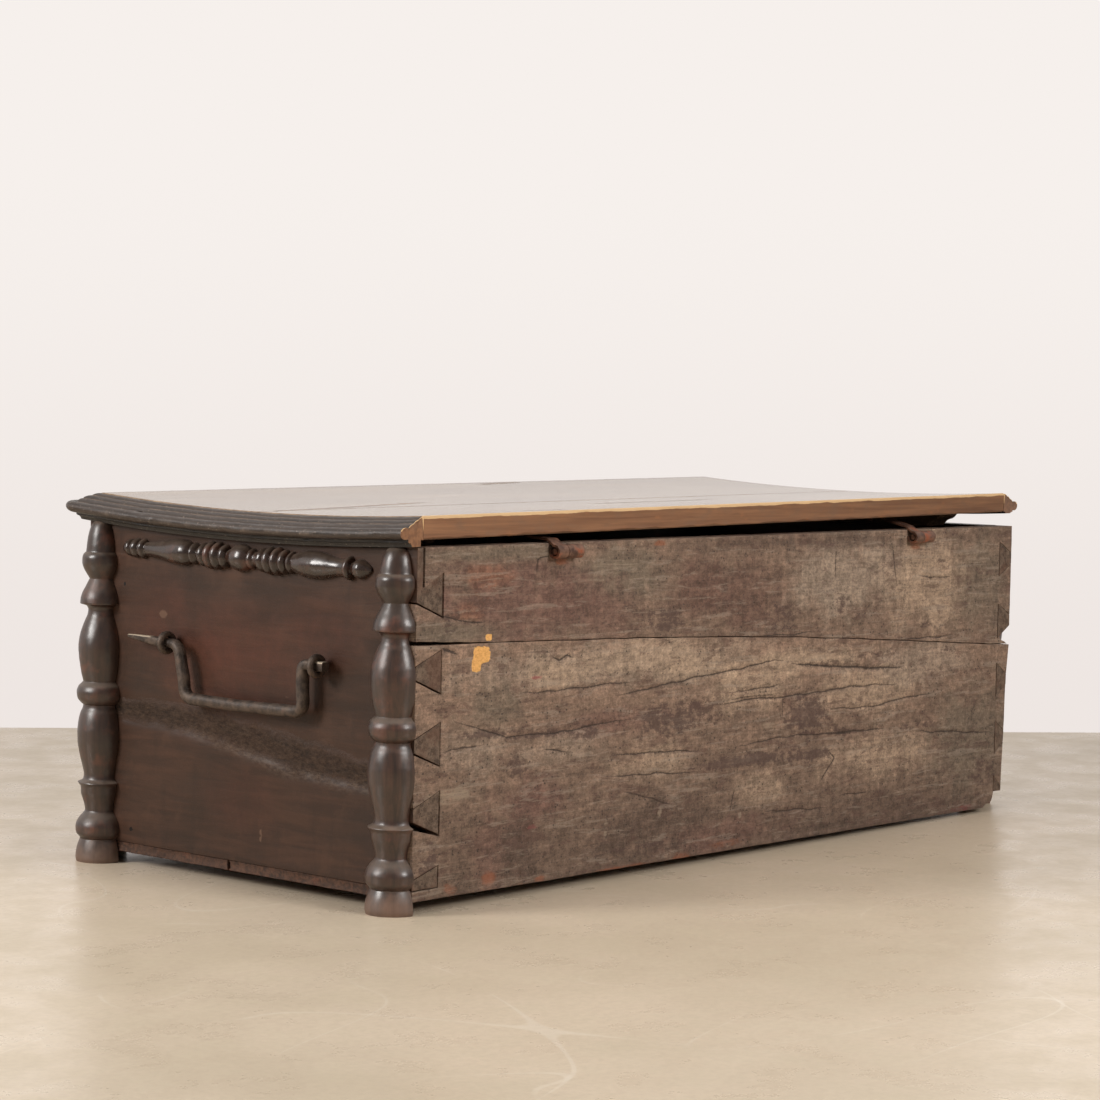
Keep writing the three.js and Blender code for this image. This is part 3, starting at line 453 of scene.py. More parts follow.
# Nodes: short names for what one material is made of. Sizes of grain are in millimetres.
class Nodes:
    def __init__(self, name):
        self.material = bpy.data.materials.new(name)
        self.material.use_nodes = True
        self.tree = self.material.node_tree
        self.tree.nodes.clear()
        self.surface = self.add("OutputMaterial").inputs[0]
        self.shader = self.add("BsdfPrincipled")
        self.tree.links.new(self.shader.outputs[0], self.surface)
        self.place = self.add("TexCoord").outputs["Object"]

    def add(self, kind, **settings):
        node = self.tree.nodes.new(f"ShaderNode{kind}")
        for setting, value in settings.items():
            setattr(node, setting, value)
        return node

    def put(self, value, target):
        if isinstance(value, Value):
            value = value.output
        if isinstance(value, bpy.types.NodeSocket):
            self.tree.links.new(value, target)
        else:
            target.default_value = value

    def fill(self, node, values, output=0):
        """Puts a value into each named input and gives back one output"""
        for target, value in values.items():
            self.put(value, node.inputs[target])
        return Value(self, node.outputs[output])

    def math(self, operation, a, b=0.0, clamp=False):
        return self.fill(self.add("Math", operation=operation, use_clamp=clamp), {0: a, 1: b})

    def both(self, a, b):
        """The product of two shares, held between 0 and 1"""
        return self.math("MULTIPLY", a, b, clamp=True)

    def most(self, a, b):
        return self.math("MAXIMUM", a, b)

    def mix(self, factor, a, b, blend="MIX"):
        return self.fill(self.add("Mix", data_type="RGBA", blend_type=blend), {0: factor, 6: a, 7: b}, 2)

    def span(self, value, low, high, to_low=0.0, to_high=1.0, smooth=True):
        node = self.add("MapRange", interpolation_type="SMOOTHSTEP" if smooth else "LINEAR")
        limits = {"From Min": low, "From Max": high, "To Min": to_low, "To Max": to_high}
        return self.fill(node, {"Value": value, **limits}, "Result")

    def layers(self, colour, *tints):
        """Lays tints over a colour: each where its value goes from low to high, up to its share"""
        for value, low, high, share, tint in tints:
            colour = self.mix(self.span(value, low, high, 0.0, share), colour, tint)
        return colour

    def scaled(self, x, y, z):
        """The object's own coordinates, divided by a size of grain on each axis"""
        return self.fill(self.add("Mapping"), {
            "Vector": self.place,
            "Scale": (1 / (x * MM), 1 / (y * MM), 1 / (z * MM)),
        })

    def noise(self, sizes, detail=4.0, roughness=0.55, distortion=0.0):
        return self.fill(self.add("TexNoise"), {
            "Vector": self.scaled(*sizes),
            "Scale": 1.0,
            "Detail": detail,
            "Roughness": roughness,
            "Distortion": distortion,
        }, "Fac")

    def spots(self, sizes):
        return self.fill(self.add("TexVoronoi"), {"Vector": self.scaled(*sizes), "Scale": 1.0}, "Distance")

    def mark(self, name):
        return Value(self, self.add("Attribute", attribute_name=name).outputs["Fac"])

    def colour_mark(self, name):
        return Value(self, self.add("Attribute", attribute_name=name).outputs["Color"])

    def parts(self, kind, value):
        """The three channels or the three axes of a value"""
        node = self.add(kind)
        self.put(value, node.inputs[0])
        return [Value(self, output) for output in node.outputs[:3]]

    def marks(self, name):
        """Three marks that the mesh carries in one colour"""
        return self.parts("SeparateColor", self.colour_mark(name))

    def axes(self):
        return self.parts("SeparateXYZ", self.place)

    def facing(self):
        """The three parts of the surface's own direction"""
        return self.parts("SeparateXYZ", self.add("NewGeometry").outputs["Normal"])

    def bump(self, height, distance, strength):
        values = {"Height": height, "Distance": distance * MM, "Strength": strength}
        self.put(self.fill(self.add("Bump"), values), self.shader.inputs["Normal"])

    def finish(self, colour, roughness, metallic=0.0, specular=0.5):
        self.fill(self.shader, {
            "Base Color": colour,
            "Roughness": roughness,
            "Metallic": metallic,
            "Specular IOR Level": specular,
        })
        return self.material


def along(axis, length, width):
    """Sizes of grain on the three axes: a length on the grain's own axis and a width on the others"""
    sizes = [width, width, width]
    sizes["xyz".index(axis)] = length
    return sizes


def old_back_wood():
    """Bare wood of the back. The tint comes with the board; grain, dirt and splits are added here."""
    n = Nodes("old_back_wood")
    linen = n.noise((46, 46, 1.4), detail=3, roughness=0.65, distortion=0.3)
    fibre = n.noise((150, 150, 6), detail=6, roughness=0.68, distortion=0.5)
    upright = n.noise((8, 8, 90), detail=5, roughness=0.66)
    thin_upright = n.noise((2.4, 2.4, 26), detail=3)
    cloud = n.noise((62, 62, 30), detail=7, roughness=0.7)
    grime = n.noise((13, 13, 9), detail=7, roughness=0.74)
    crumbs = n.noise((3.4, 3.4, 2.8), detail=5, roughness=0.74)
    rubbed = n.noise((90, 90, 60), detail=4)
    weave = n.span(rubbed, 0.42, 0.62, 0.0, 0.6)
    colour = n.colour_mark("tint")
    light = n.span(fibre, 0.3, 0.7, 0.84, 1.16) * n.span(cloud, 0.32, 0.68, 1.16, 0.82)
    light *= n.span(grime, 0.36, 0.64, 1.2, 0.76)
    light *= n.span(crumbs, 0.36, 0.66, 1.2, 0.74)
    light *= n.span(upright, 0.34, 0.7, 1.1, 0.86)
    threads = n.span(linen, 0.3, 0.7, 0.84, 1.16) * n.span(thin_upright, 0.32, 0.7, 1.08, 0.92)
    threads = 1.0 + (threads - 1.0) * weave
    colour = n.mix(1.0, colour, light * threads, "MULTIPLY")
    blotch = n.noise((60, 40, 20), detail=9, roughness=0.78, distortion=0.5)
    colour = n.layers(colour, (blotch, 0.54, 0.59, 0.5, srgb(84, 58, 50)))
    wiped = n.noise((100, 60, 10), detail=9, roughness=0.76, distortion=0.4)
    colour = n.layers(colour, (wiped, 0.54, 0.6, 0.34, srgb(166, 150, 134)))
    dirt, clean, dust = n.marks("state")
    speck_room = n.span(cloud, 0.4, 0.6, 0.4, 1.0) - clean * 0.8
    pits = n.spots((9, 9, 7.5))
    small_pits = n.spots((4.2, 4.2, 3.4))
    speck = n.both(n.span(pits, 0.22, 0.12), speck_room)
    small = n.both(n.both(n.span(small_pits, 0.26, 0.12), n.span(grime, 0.44, 0.56)), speck_room)
    colour = n.mix(speck * 0.8, colour, srgb(44, 33, 28))
    colour = n.mix(small * 0.65, colour, srgb(52, 40, 33))
    pale = n.both(n.span(crumbs, 0.6, 0.68), n.span(cloud, 0.52, 0.44))
    colour = n.mix(pale * 0.45, colour, srgb(188, 168, 146))
    torn = (grime - 0.5) * 2.6 + (fibre - 0.5) * 1.6
    smear = dirt * 1.15 + torn
    colour = n.layers(colour, (smear, 0.5, 0.9, 0.7, srgb(80, 60, 54)))
    settled = dust + torn * 0.7
    colour = n.layers(colour, (settled, 0.55, 0.95, 0.6, srgb(160, 142, 122)))
    ochre, rust, pink = n.marks("spot")
    stained = rust + torn * 0.5
    colour = n.layers(colour, (stained, 0.35, 0.95, 0.6, srgb(150, 88, 58)))
    reddened = pink + torn * 0.4
    colour = n.layers(colour, (reddened, 0.4, 0.9, 0.7, srgb(146, 66, 72)))
    flaked = (n.noise((5, 5, 5), detail=3) - 0.5) * 0.5
    chalk = n.mix(n.span(crumbs, 0.4, 0.62), srgb(238, 182, 108), srgb(214, 156, 88))
    colour = n.mix(n.span(ochre + flaked, 0.46, 0.52), colour, chalk)
    offset = abs(n.mark("crack_offset"))
    width = n.mark("crack_width") * n.span(crumbs, 0.3, 0.64, 0.4, 1.3)
    split = n.span(width - offset, -0.5, 0.4)
    halo = n.span(width * 3.2 - offset, -1.5, 1.8, 0.0, 0.35)
    colour = n.mix(halo, colour, srgb(78, 58, 48))
    colour = n.mix(split * 0.78, colour, srgb(40, 29, 24))
    n.bump(fibre * 0.6 + grime * 0.9 + crumbs * 0.5 - speck * 0.7, 1.1, 0.75)
    return n.finish(colour, n.span(grime, 0.3, 0.7, 0.6, 0.84))


def polished_walnut(name, axis, light, dark, sheen, dust=0.0, wear=0.0):
    """Dark walnut under old wax, with grain along one axis"""
    n = Nodes(name)
    grain = n.noise(along(axis, 170, 7), detail=6, roughness=0.6, distortion=0.4)
    broad = n.noise(along(axis, 260, 70), detail=3)
    pores = n.noise(along(axis, 12, 0.9), detail=2)
    patches = n.noise((30, 30, 30), detail=5, roughness=0.6)
    colour = n.mix(n.span(grain, 0.25, 0.75), dark, light)
    colour = n.mix(n.span(broad, 0.35, 0.65, 0.0, 0.6), colour, dark)
    colour = n.layers(
        colour,
        (patches, 0.52, 0.72, 0.6, srgb(104, 58, 40)),
        (patches, 0.45, 0.3, 0.45, srgb(34, 25, 21)),
        (pores, 0.62, 0.72, 0.35, srgb(24, 17, 14)),
    )
    up = n.facing()[2]
    rough = n.span(patches, 0.3, 0.7, sheen, sheen + 0.12)
    if wear:
        torn = (patches - 0.5) * 1.6
        rubbed = n.span(n.mark("wear") + torn, 0.2, 1.1, 0.0, wear)
        colour = n.mix(rubbed, colour, n.mix(grain, srgb(98, 74, 60), srgb(136, 108, 90)))
        rough += rubbed * 0.3
    if dust:
        settled = n.span(up, 0.3, 0.9) * n.span(patches, 0.3, 0.6, 0.5, 1.0)
        colour = n.mix(settled * dust, colour, srgb(138, 122, 106))
        rough += settled * 0.25
    n.bump(grain * 0.5 + pores * 0.12, 0.4, 0.22)
    return n.finish(colour, rough, specular=0.8)


def end_walnut():
    """The end board: smooth dark walnut with a band that is worn rough, a painted highlight along the band's
    lower ridge, and grey end grain on its pins
    """
    n = Nodes("end_walnut")
    grain = n.noise((14, 150, 14), detail=6, roughness=0.62, distortion=0.6)
    broad = n.noise((110, 240, 110), detail=4, roughness=0.6)
    upright = n.noise((22, 22, 110), detail=5, roughness=0.6)
    patches = n.noise((46, 46, 46), detail=7, roughness=0.7)
    crumbs = n.noise((5.0, 9.0, 4.0), detail=6, roughness=0.76)
    fine = n.noise((2.2, 2.2, 2.2), detail=3, roughness=0.7)
    hole, warm, pale = n.marks("spot")
    colour = n.mix(n.span(grain, 0.25, 0.75), srgb(52, 35, 26), srgb(75, 50, 37))
    colour = n.layers(
        colour,
        (patches, 0.48, 0.7, 0.55, srgb(82, 56, 41)),
        (broad, 0.44, 0.62, 0.5, srgb(48, 35, 27)),
        (upright, 0.48, 0.72, 0.35, srgb(46, 33, 26)),
    )
    glow = warm * n.span(patches, 0.34, 0.66, 0.4, 1.0)
    colour = n.mix(glow * 0.6, colour, srgb(92, 46, 31))
    colour = n.layers(colour, (fine, 0.62, 0.74, 0.25, srgb(120, 98, 82)))
    torn = n.mark("band") + (patches - 0.5) * 1.3
    worn = n.span(torn, 0.2, 1.0)
    crust = n.mix(n.span(crumbs, 0.34, 0.68), srgb(32, 24, 19), srgb(86, 69, 56))
    colour = n.mix(worn * 0.65, colour, crust)
    # Painted highlight along the ridge at the foot of the worn band
    lit = n.mark("ridge") * n.span(crumbs, 0.4, 0.6)
    colour = n.mix(lit * 0.35, colour, srgb(120, 101, 85))
    colour = n.layers(
        colour,
        (pale, 0.4, 0.7, 0.5, srgb(124, 96, 78)),
        (hole, 0.45, 0.55, 1.0, srgb(18, 13, 11)),
    )
    end_grain = n.span(n.facing()[1], 0.6, 0.9)
    speckle = n.noise((9, 9, 9), detail=7, roughness=0.78)
    sawn = n.mix(n.span(speckle, 0.34, 0.66), srgb(70, 56, 47), srgb(124, 105, 90))
    sawn = n.layers(
        sawn,
        (n.spots((5, 5, 5)), 0.24, 0.12, 0.6, srgb(44, 34, 28)),
        (patches, 0.45, 0.62, 0.5, srgb(108, 78, 64)),
    )
    colour = n.mix(end_grain, colour, sawn)
    crust_height = crumbs * 2.0 + fine * 0.6
    rough_share = n.most(worn, end_grain * 0.5)
    height = crust_height * n.most(rough_share, 0.05)
    n.bump(grain * 0.25 + height, 1.5, 0.9)
    dull = n.most(worn, end_grain) * 0.3
    return n.finish(colour, n.span(patches, 0.3, 0.7, 0.38, 0.5) + dull, specular=0.3)


def raw_edge(n, grain, patches):
    """Sawn brown wood of the lid's back edge and of the moulding's end, paler towards the right end"""
    along_lid = n.span(n.axes()[0], -0.7, 0.7, 0.94, 1.24, smooth=False)
    raw = n.mix(n.span(grain, 0.3, 0.7), srgb(106, 72, 50), srgb(136, 97, 68))
    raw = n.layers(
        raw,
        (patches, 0.48, 0.68, 0.6, srgb(114, 86, 66)),
        (patches, 0.42, 0.3, 0.5, srgb(148, 98, 62)),
    )
    return n.mix(1.0, raw, along_lid, "MULTIPLY")


def lid_wood():
    """The lid boards: waxed grey-brown on top, raw brown on the sawn back edge, a fresh pale arris"""
    n = Nodes("lid_wood")
    grain = n.noise((260, 9, 9), detail=6, roughness=0.6, distortion=0.6)
    fibre = n.noise((70, 2.0, 2.0), detail=4)
    broad = n.noise((300, 60, 40), detail=3)
    patches = n.noise((44, 34, 20), detail=6, roughness=0.65)
    top = n.mix(n.span(grain, 0.3, 0.7), srgb(116, 93, 71), srgb(166, 139, 110))
    top = n.layers(top, (broad, 0.4, 0.65, 0.6, srgb(118, 92, 70)))
    raw = raw_edge(n, grain, patches)
    raw = n.layers(raw, (fibre, 0.56, 0.7, 0.3, srgb(84, 60, 44)))
    back, arris, below = n.marks("face")
    under = n.mix(n.span(grain, 0.3, 0.7), srgb(92, 66, 50), srgb(124, 94, 72))
    colour = n.mix(n.span(back, 0.35, 0.65), top, raw)
    colour = n.mix(n.span(below, 0.35, 0.65), colour, under)
    fresh = n.span(arris + (patches - 0.5), 0.42, 0.6)
    colour = n.mix(fresh, colour, n.mix(grain, srgb(206, 164, 116), srgb(232, 200, 156)))
    offset = abs(n.mark("crack_offset"))
    split = n.span(n.mark("crack_width") - offset, -0.5, 0.5)
    colour = n.mix(split, colour, srgb(40, 31, 25))
    n.bump(grain + fibre * 0.5, 0.5, 0.45)
    rough = n.most(n.span(back, 0.35, 0.65, 0.12, 0.75), n.span(below, 0.35, 0.65, 0.12, 0.8))
    return n.finish(colour, n.most(rough, split * 0.9))


def inner_wood(name, axis, dark, light):
    """Unstained wood inside and underneath"""
    n = Nodes(name)
    grain = n.noise(along(axis, 200, 6), detail=6, roughness=0.6, distortion=0.5)
    patches = n.noise((40, 40, 40), detail=6, roughness=0.68)
    crumbs = n.noise((4, 4, 3), detail=4, roughness=0.7)
    colour = n.mix(n.span(grain, 0.3, 0.7), dark, light)
    colour = n.layers(
        colour,
        (patches, 0.5, 0.7, 0.6, srgb(70, 50, 41)),
        (patches, 0.42, 0.3, 0.4, srgb(132, 74, 52)),
        (crumbs, 0.6, 0.72, 0.5, srgb(46, 35, 29)),
    )
    n.bump(grain + crumbs * 1.2, 1.2, 0.8)
    return n.finish(colour, 0.8)


def moulding_wood(name, axis):
    """The lid's mouldings: dark walnut, lighter on the crests as rubbed wear and painted highlight, and
    almost black in the quirks and underneath as grime and painted shade
    """
    n = Nodes(name)
    grain = n.noise(along(axis, 150, 3), detail=6, roughness=0.62, distortion=0.3)
    patches = n.noise((26, 26, 26), detail=6, roughness=0.68)
    specks = n.noise((3.4, 3.4, 3.4), detail=4, roughness=0.72)
    crest_wear_and_highlight, hollow_grime_and_shade, sawn = n.marks("relief")
    colour = n.mix(n.span(grain, 0.3, 0.7), srgb(38, 28, 23), srgb(64, 50, 41))
    # Crests: rubbed wear and painted highlight. Quirks and underside: grime and painted shade, almost black.
    rubbed = crest_wear_and_highlight + (patches - 0.5) * 1.4
    colour = n.layers(
        colour,
        (rubbed, 0.35, 1.0, 0.8, srgb(132, 115, 100)),
        (hollow_grime_and_shade, 0.15, 0.7, 0.9, srgb(20, 15, 12)),
        (specks, 0.6, 0.68, 0.5, srgb(170, 154, 138)),
        (specks, 0.36, 0.28, 0.5, srgb(30, 23, 19)),
    )
    raw = raw_edge(n, n.noise((7, 7, 7), detail=5), patches)
    fresh = n.span(n.mark("arris") + (patches - 0.5) * 0.6, 0.4, 0.6)
    raw = n.mix(fresh, raw, srgb(226, 188, 138))
    colour = n.mix(n.span(sawn, 0.4, 0.6), colour, raw)
    n.bump(grain * 0.5 + specks * 0.6, 0.7, 0.7)
    return n.finish(colour, n.span(patches, 0.3, 0.7, 0.34, 0.5))


def forged_iron(name, light, dark, rust, rust_share, shine):
    """Forged iron, dark and scaly, rusty in patches, and lighter on worn places where they face upwards:
    rubbed metal and painted highlight
    """
    n = Nodes(name)
    scale_marks = n.noise((11, 11, 11), detail=6, roughness=0.62)
    fine = n.noise((2.4, 2.4, 2.4), detail=4, roughness=0.7)
    patches = n.noise((22, 22, 22), detail=5, roughness=0.62)
    colour = n.mix(n.span(scale_marks, 0.3, 0.7), dark, light)
    stained = n.span(patches, 0.62 - rust_share, 0.8 - rust_share)
    colour = n.mix(stained, colour, rust)
    colour = n.mix(n.span(fine, 0.6, 0.7, 0.0, 0.3), colour, dark)
    # Painted highlight: worn places are lightened only where they face upwards, partly as rubbed metal
    wear_and_highlight = n.both(n.mark("wear"), n.span(n.facing()[2], 0.15, 0.6))
    wear_and_highlight = n.math("ADD", wear_and_highlight, (scale_marks - 0.5) * 0.6, clamp=True)
    wear_and_highlight = n.span(wear_and_highlight, 0.3, 0.6) * n.span(n.mark("wear"), 0.05, 0.3)
    colour = n.mix(wear_and_highlight * 0.9, colour, srgb(196, 180, 158))
    n.bump(scale_marks * 0.9 + fine * 0.4, 0.8, 0.7)
    metal = shine * (1.0 - stained * 0.8)
    return n.finish(colour, n.span(scale_marks, 0.3, 0.7, 0.44, 0.62), metal)


WALNUT_LIGHT = srgb(76, 51, 39)
WALNUT_DARK = srgb(40, 27, 21)
looks = {
    "back": old_back_wood(),
    "end": end_walnut(),
    "front": polished_walnut("front_walnut", "x", srgb(84, 58, 45), WALNUT_DARK, 0.36),
    "turned": polished_walnut("turned_walnut", "z", WALNUT_LIGHT, WALNUT_DARK, 0.3, dust=0.45, wear=0.75),
    "spindle_y": polished_walnut("spindle_walnut_across", "y", srgb(66, 43, 34), WALNUT_DARK, 0.2, dust=0.3),
    "spindle_x": polished_walnut("spindle_walnut_along", "x", srgb(66, 43, 34), WALNUT_DARK, 0.2, dust=0.3),
    "lid": lid_wood(),
    "moulding_x": moulding_wood("moulding_wood_along", "x"),
    "moulding_y": moulding_wood("moulding_wood_across", "y"),
    "floor_boards": inner_wood("bottom_wood", "x", srgb(56, 40, 32), srgb(98, 68, 52)),
    "inside_y": inner_wood("bare_wood_across", "y", srgb(104, 76, 58), srgb(150, 116, 90)),
    "iron": forged_iron("forged_iron", srgb(98, 83, 72), srgb(52, 43, 38), srgb(92, 64, 50), 0.06, 0.4),
    "rust": forged_iron("rusty_iron", srgb(142, 108, 90), srgb(74, 50, 41), srgb(146, 76, 46), 0.1, 0.5),
}


def wandering(line, seed):
    """A split's own line: it goes through the given points and wanders a little between them"""
    line = np.array(line, float)
    points = [line[0]]
    for start, end in zip(line[:-1], line[1:]):
        count = max(1, round(math.dist(start, end) / 5))
        points += [start + (end - start) * i / count for i in range(1, count + 1)]
    points = np.array(points)
    drift = 2.4 * ripple(three(points), 30, seed) + 0.9 * ripple(three(points), 8, seed + 1)
    ease = np.minimum(1, np.minimum(np.arange(len(points)), np.arange(len(points))[::-1]) / 4)
    points[:, 1] += drift * ease
    return points


# The half width, in millimetres, that stands for no split nearby
NO_SPLIT = -4.0


def crack_marks(points, cracks, reach=7.0):
    """Distance from the nearest split, with a sign, and that split's half width, below 0 far from any"""
    offset = np.full(len(points), reach)
    width = np.full(len(points), NO_SPLIT)
    nearest = np.full(len(points), reach)
    for number, (half_width, line) in enumerate(cracks):
        line = wandering(line, number)
        near = np.flatnonzero(((points > line.min(0) - reach) & (points < line.max(0) + reach)).all(1))
        total = len(line) - 1
        for i, (start, end) in enumerate(zip(line[:-1], line[1:])):
            direction = end - start
            length = math.hypot(*direction)
            direction = direction / length
            rel = points[near] - start
            t = np.clip(rel @ direction, 0, length)
            distance = np.hypot(*(rel - t[:, None] * direction).T)
            across = rel @ np.array([-direction[1], direction[0]])
            closer = distance < nearest[near]
            chosen = near[closer]
            share = (i + t[closer] / length) / total
            nearest[chosen] = distance[closer]
            offset[chosen] = np.where(across[closer] < 0, -distance[closer], distance[closer])
            width[chosen] = half_width * np.minimum(1, 5 * np.minimum(share, 1 - share) + 0.15)
    return offset, width


def crack_points(cracks):
    """Points along both sides of every split, so that the mesh follows it"""
    rows = []
    for number, (half_width, line) in enumerate(cracks):
        line = wandering(line, number)
        for gap in (-half_width - 1.6, -half_width * 0.5, half_width * 0.5, half_width + 1.6):
            rows.append(line + (0, gap))
    return np.vstack(rows)


def split_relief(cracks, depth, waves):
    """How deep the surface lies: a groove at every split, and a gentle unevenness"""

    def relief(points):
        offset, width = crack_marks(points, cracks)
        groove = np.clip((width + 0.4 - np.abs(offset)) / 0.8, 0, 1) * np.minimum(depth, width)
        long_waves = ripple(three(points * (0.3, 1)), 26, 3.0)
        uneven = waves * (1 + 0.7 * long_waves + 0.3 * ripple(three(points), 9, 6.0))
        return np.maximum(groove + uneven, 0)

    return relief


# Tints of the back's bare wood
TINTS = {
    "ash": srgb(112, 98, 83),
    "beige": srgb(150, 131, 114),
    "sand": srgb(166, 142, 120),
    "red": srgb(110, 81, 70),
    "redbrown": srgb(104, 77, 65),
    "russet": srgb(128, 86, 66),
    "umber": srgb(88, 69, 58),
}

# Tinted patches of the two boards: tint, x, z, half width, half height, strength
UPPER_TINTS = [
    ("ash", 300, 400, 100, 30, 0.9), ("red", 495, 375, 140, 50, 1.0), ("russet", 560, 405, 45, 14, 0.8),
    ("russet", 585, 360, 25, 14, 0.8), ("ash", 515, 435, 155, 9, 0.9), ("ash", 610, 338, 75, 16, 0.9),
    ("redbrown", 120, 370, 60, 42, 1.0), ("redbrown", 20, 365, 95, 42, 0.9), ("umber", 10, 435, 115, 9, 0.8),
    ("beige", -200, 378, 95, 50, 1.0), ("beige", -330, 385, 70, 40, 0.7), ("sand", -450, 360, 100, 60, 0.9),
    ("ash", -590, 355, 60, 70, 0.7), ("umber", -225, 432, 120, 9, 0.7), ("red", 330, 350, 70, 30, 0.7),
]
LOWER_TINTS = [
    ("beige", 300, 282, 240, 26, 0.9), ("sand", 420, 275, 50, 18, 0.9), ("sand", 225, 287, 150, 22, 0.7),
    ("sand", -80, 265, 190, 15, 1.0), ("sand", 5, 235, 85, 26, 0.9), ("sand", -290, 215, 100, 30, 0.9),
    ("beige", -420, 245, 120, 26, 0.8), ("ash", 535, 240, 60, 26, 0.8), ("red", 460, 120, 60, 30, 1.0),
    ("red", 540, 60, 34, 36, 0.7), ("umber", 475, 55, 40, 40, 0.8), ("red", 315, 208, 100, 16, 0.8),
    ("sand", 215, 150, 70, 22, 0.7), ("umber", 195, 60, 140, 36, 0.8), ("red", 45, 35, 120, 20, 0.8),
    ("sand", -40, 92, 55, 20, 0.7), ("sand", -335, 112, 130, 28, 0.8), ("umber", -340, 22, 220, 28, 0.7),
    ("ash", -570, 120, 100, 64, 0.8), ("beige", 560, 190, 60, 22, 0.6), ("beige", 400, 180, 60, 22, 0.6),
]


def tint_marks(flat, above_joint):
    """Colour at each point: a base that darkens towards the floor, then ragged patches over it"""
    large = ripple(three(flat), 46, 2.0) * 0.5 + ripple(three(flat), 13, 5.0) * 0.35
    base = np.array(srgb(124, 101, 85)[:3])
    colour = np.tile(base, (len(flat), 1))
    lower = above_joint < 0
    height = np.clip(flat[:, 1] / 300, 0, 1)
    shade = np.where(lower, 0.72 + 0.55 * height, 1.0)
    colour *= shade[:, None]
    for patches, here in ((UPPER_TINTS, ~lower), (LOWER_TINTS, lower)):
        for tint, x, z, half_x, half_z, strength in patches:
            away = np.hypot((flat[:, 0] - x) / (half_x * 1.15), (flat[:, 1] - z) / (half_z * 1.15))
            share = np.clip((1.25 - away + large) / 0.7, 0, 1) * strength * 0.9 * here
            target = np.array(TINTS[tint][:3])
            colour += (target - colour) * share[:, None]
    return colour


def patch_marks(points, patches, power=2):
    """1 or more inside any of the patches, falling to 0; a higher power makes them squarer"""
    value = np.zeros(len(points))
    for x, z, half_x, half_z, strength in patches:
        apart = np.abs((points[:, 0] - x) / half_x) ** power + np.abs((points[:, 1] - z) / half_z) ** power
        value = np.maximum(value, strength * np.clip(1.5 - apart ** (1 / power), 0, 1))
    return value


def in_one(first, second, third):
    """Three marks as the channels of one colour"""
    return np.column_stack([first, second, third, np.ones(len(first))])


# Splits of the back: half width, and the line as [x, z] points
BACK_CRACKS = [
    (0.7, [(483, 258), (424, 256), (350, 258), (269, 258)]),
    (0.9, [(296, 242), (187, 250), (117, 256), (25, 262), (-56, 269), (-76, 267)]),
    (0.8, [(607, 230), (561, 218), (511, 205), (459, 204), (392, 203), (347, 207), (267, 209)]),
    (0.6, [(630, 194), (592, 197), (558, 197)]),
    (0.8, [(437, 183), (395, 176)]),
    (0.8, [(302, 164), (213, 161), (113, 155)]),
    (0.7, [(313, 137), (224, 133), (112, 126)]),
    (0.6, [(276, 114), (223, 101), (173, 87)]),
    (1.5, [(-96, 262), (-151, 256), (-286, 245), (-378, 241)]),
    (0.9, [(80, 215), (4, 217), (-78, 216), (-173, 217), (-255, 220), (-363, 216)]),
    (0.8, [(-194, 191), (-246, 188), (-305, 187), (-375, 194), (-469, 197)]),
    (0.6, [(-77, 216), (-78, 187)]),
    (0.8, [(-200, 423), (-199, 380)]),
    (0.7, [(-345, 425), (-358, 367)]),
    (0.7, [(-381, 284), (-426, 282), (-505, 281)]),
    (0.8, [(-196, 154), (-333, 152)]),
    (0.9, [(-421, 141), (-630, 125)]),
    (0.7, [(27, 154), (-76, 158), (-155, 157), (-280, 154)]),
    (0.9, [(-192, 131), (-208, 119), (-188, 100), (-173, 87)]),
    (0.9, [(32, 94), (41, 66)]),
    (0.7, [(-226, 63), (-289, 61)]),
    (0.8, [(-41, 57), (-190, 48)]),
    (0.8, [(433, 429), (457, 425), (460, 406)]),
    (1.8, [(634, 322), (618, 318), (606, 313)]),
    (1.3, [(425, 299), (410, 296), (396, 301), (386, 297)]),
    (0.9, [(634, 361), (600, 354), (560, 350)]),
    (0.6, [(-505, 372), (-450, 371), (-420, 376)]),
    (0.7, [(-20, 305), (-100, 303), (-150, 304)]),
    (0.7, [(40, 230), (-20, 232), (-75, 235)]),
]
# Patches of the back: x, z, half width, half height, strength
DIRT = [
    (200, 335, 55, 22, 0.7), (-70, 325, 45, 30, 0.6), (-215, 340, 28, 18, 0.6), (-135, 185, 55, 32, 0.9),
    (175, 205, 105, 28, 0.75), (360, 200, 40, 16, 0.7), (15, 133, 110, 11, 0.95), (-145, 128, 70, 12, 0.8),
    (540, 211, 64, 8, 0.75), (440, 203, 60, 6, 0.7), (490, 165, 22, 18, 0.7), (620, 355, 30, 20, 0.5),
    (-300, 262, 60, 5, 0.6), (-200, 258, 70, 5, 0.7), (-420, 150, 90, 8, 0.5), (650, 60, 20, 30, 0.6),
    (-440, 300, 20, 4, 0.8), (-470, 297, 40, 3, 0.5), (-500, 262, 24, 6, 0.6), (-440, 340, 18, 5, 0.6),
    (-480, 395, 20, 6, 0.5), (-610, 60, 50, 40, 0.5), (240, 30, 90, 14, 0.5), (-230, 160, 40, 6, 0.7),
]
CLEAN = [
    (470, 370, 170, 46, 1.0), (-200, 385, 120, 44, 0.6), (-450, 370, 90, 50, 0.6), (-90, 262, 180, 22, 0.6),
    (-300, 215, 110, 22, 0.5), (60, 370, 60, 30, 0.4),
]
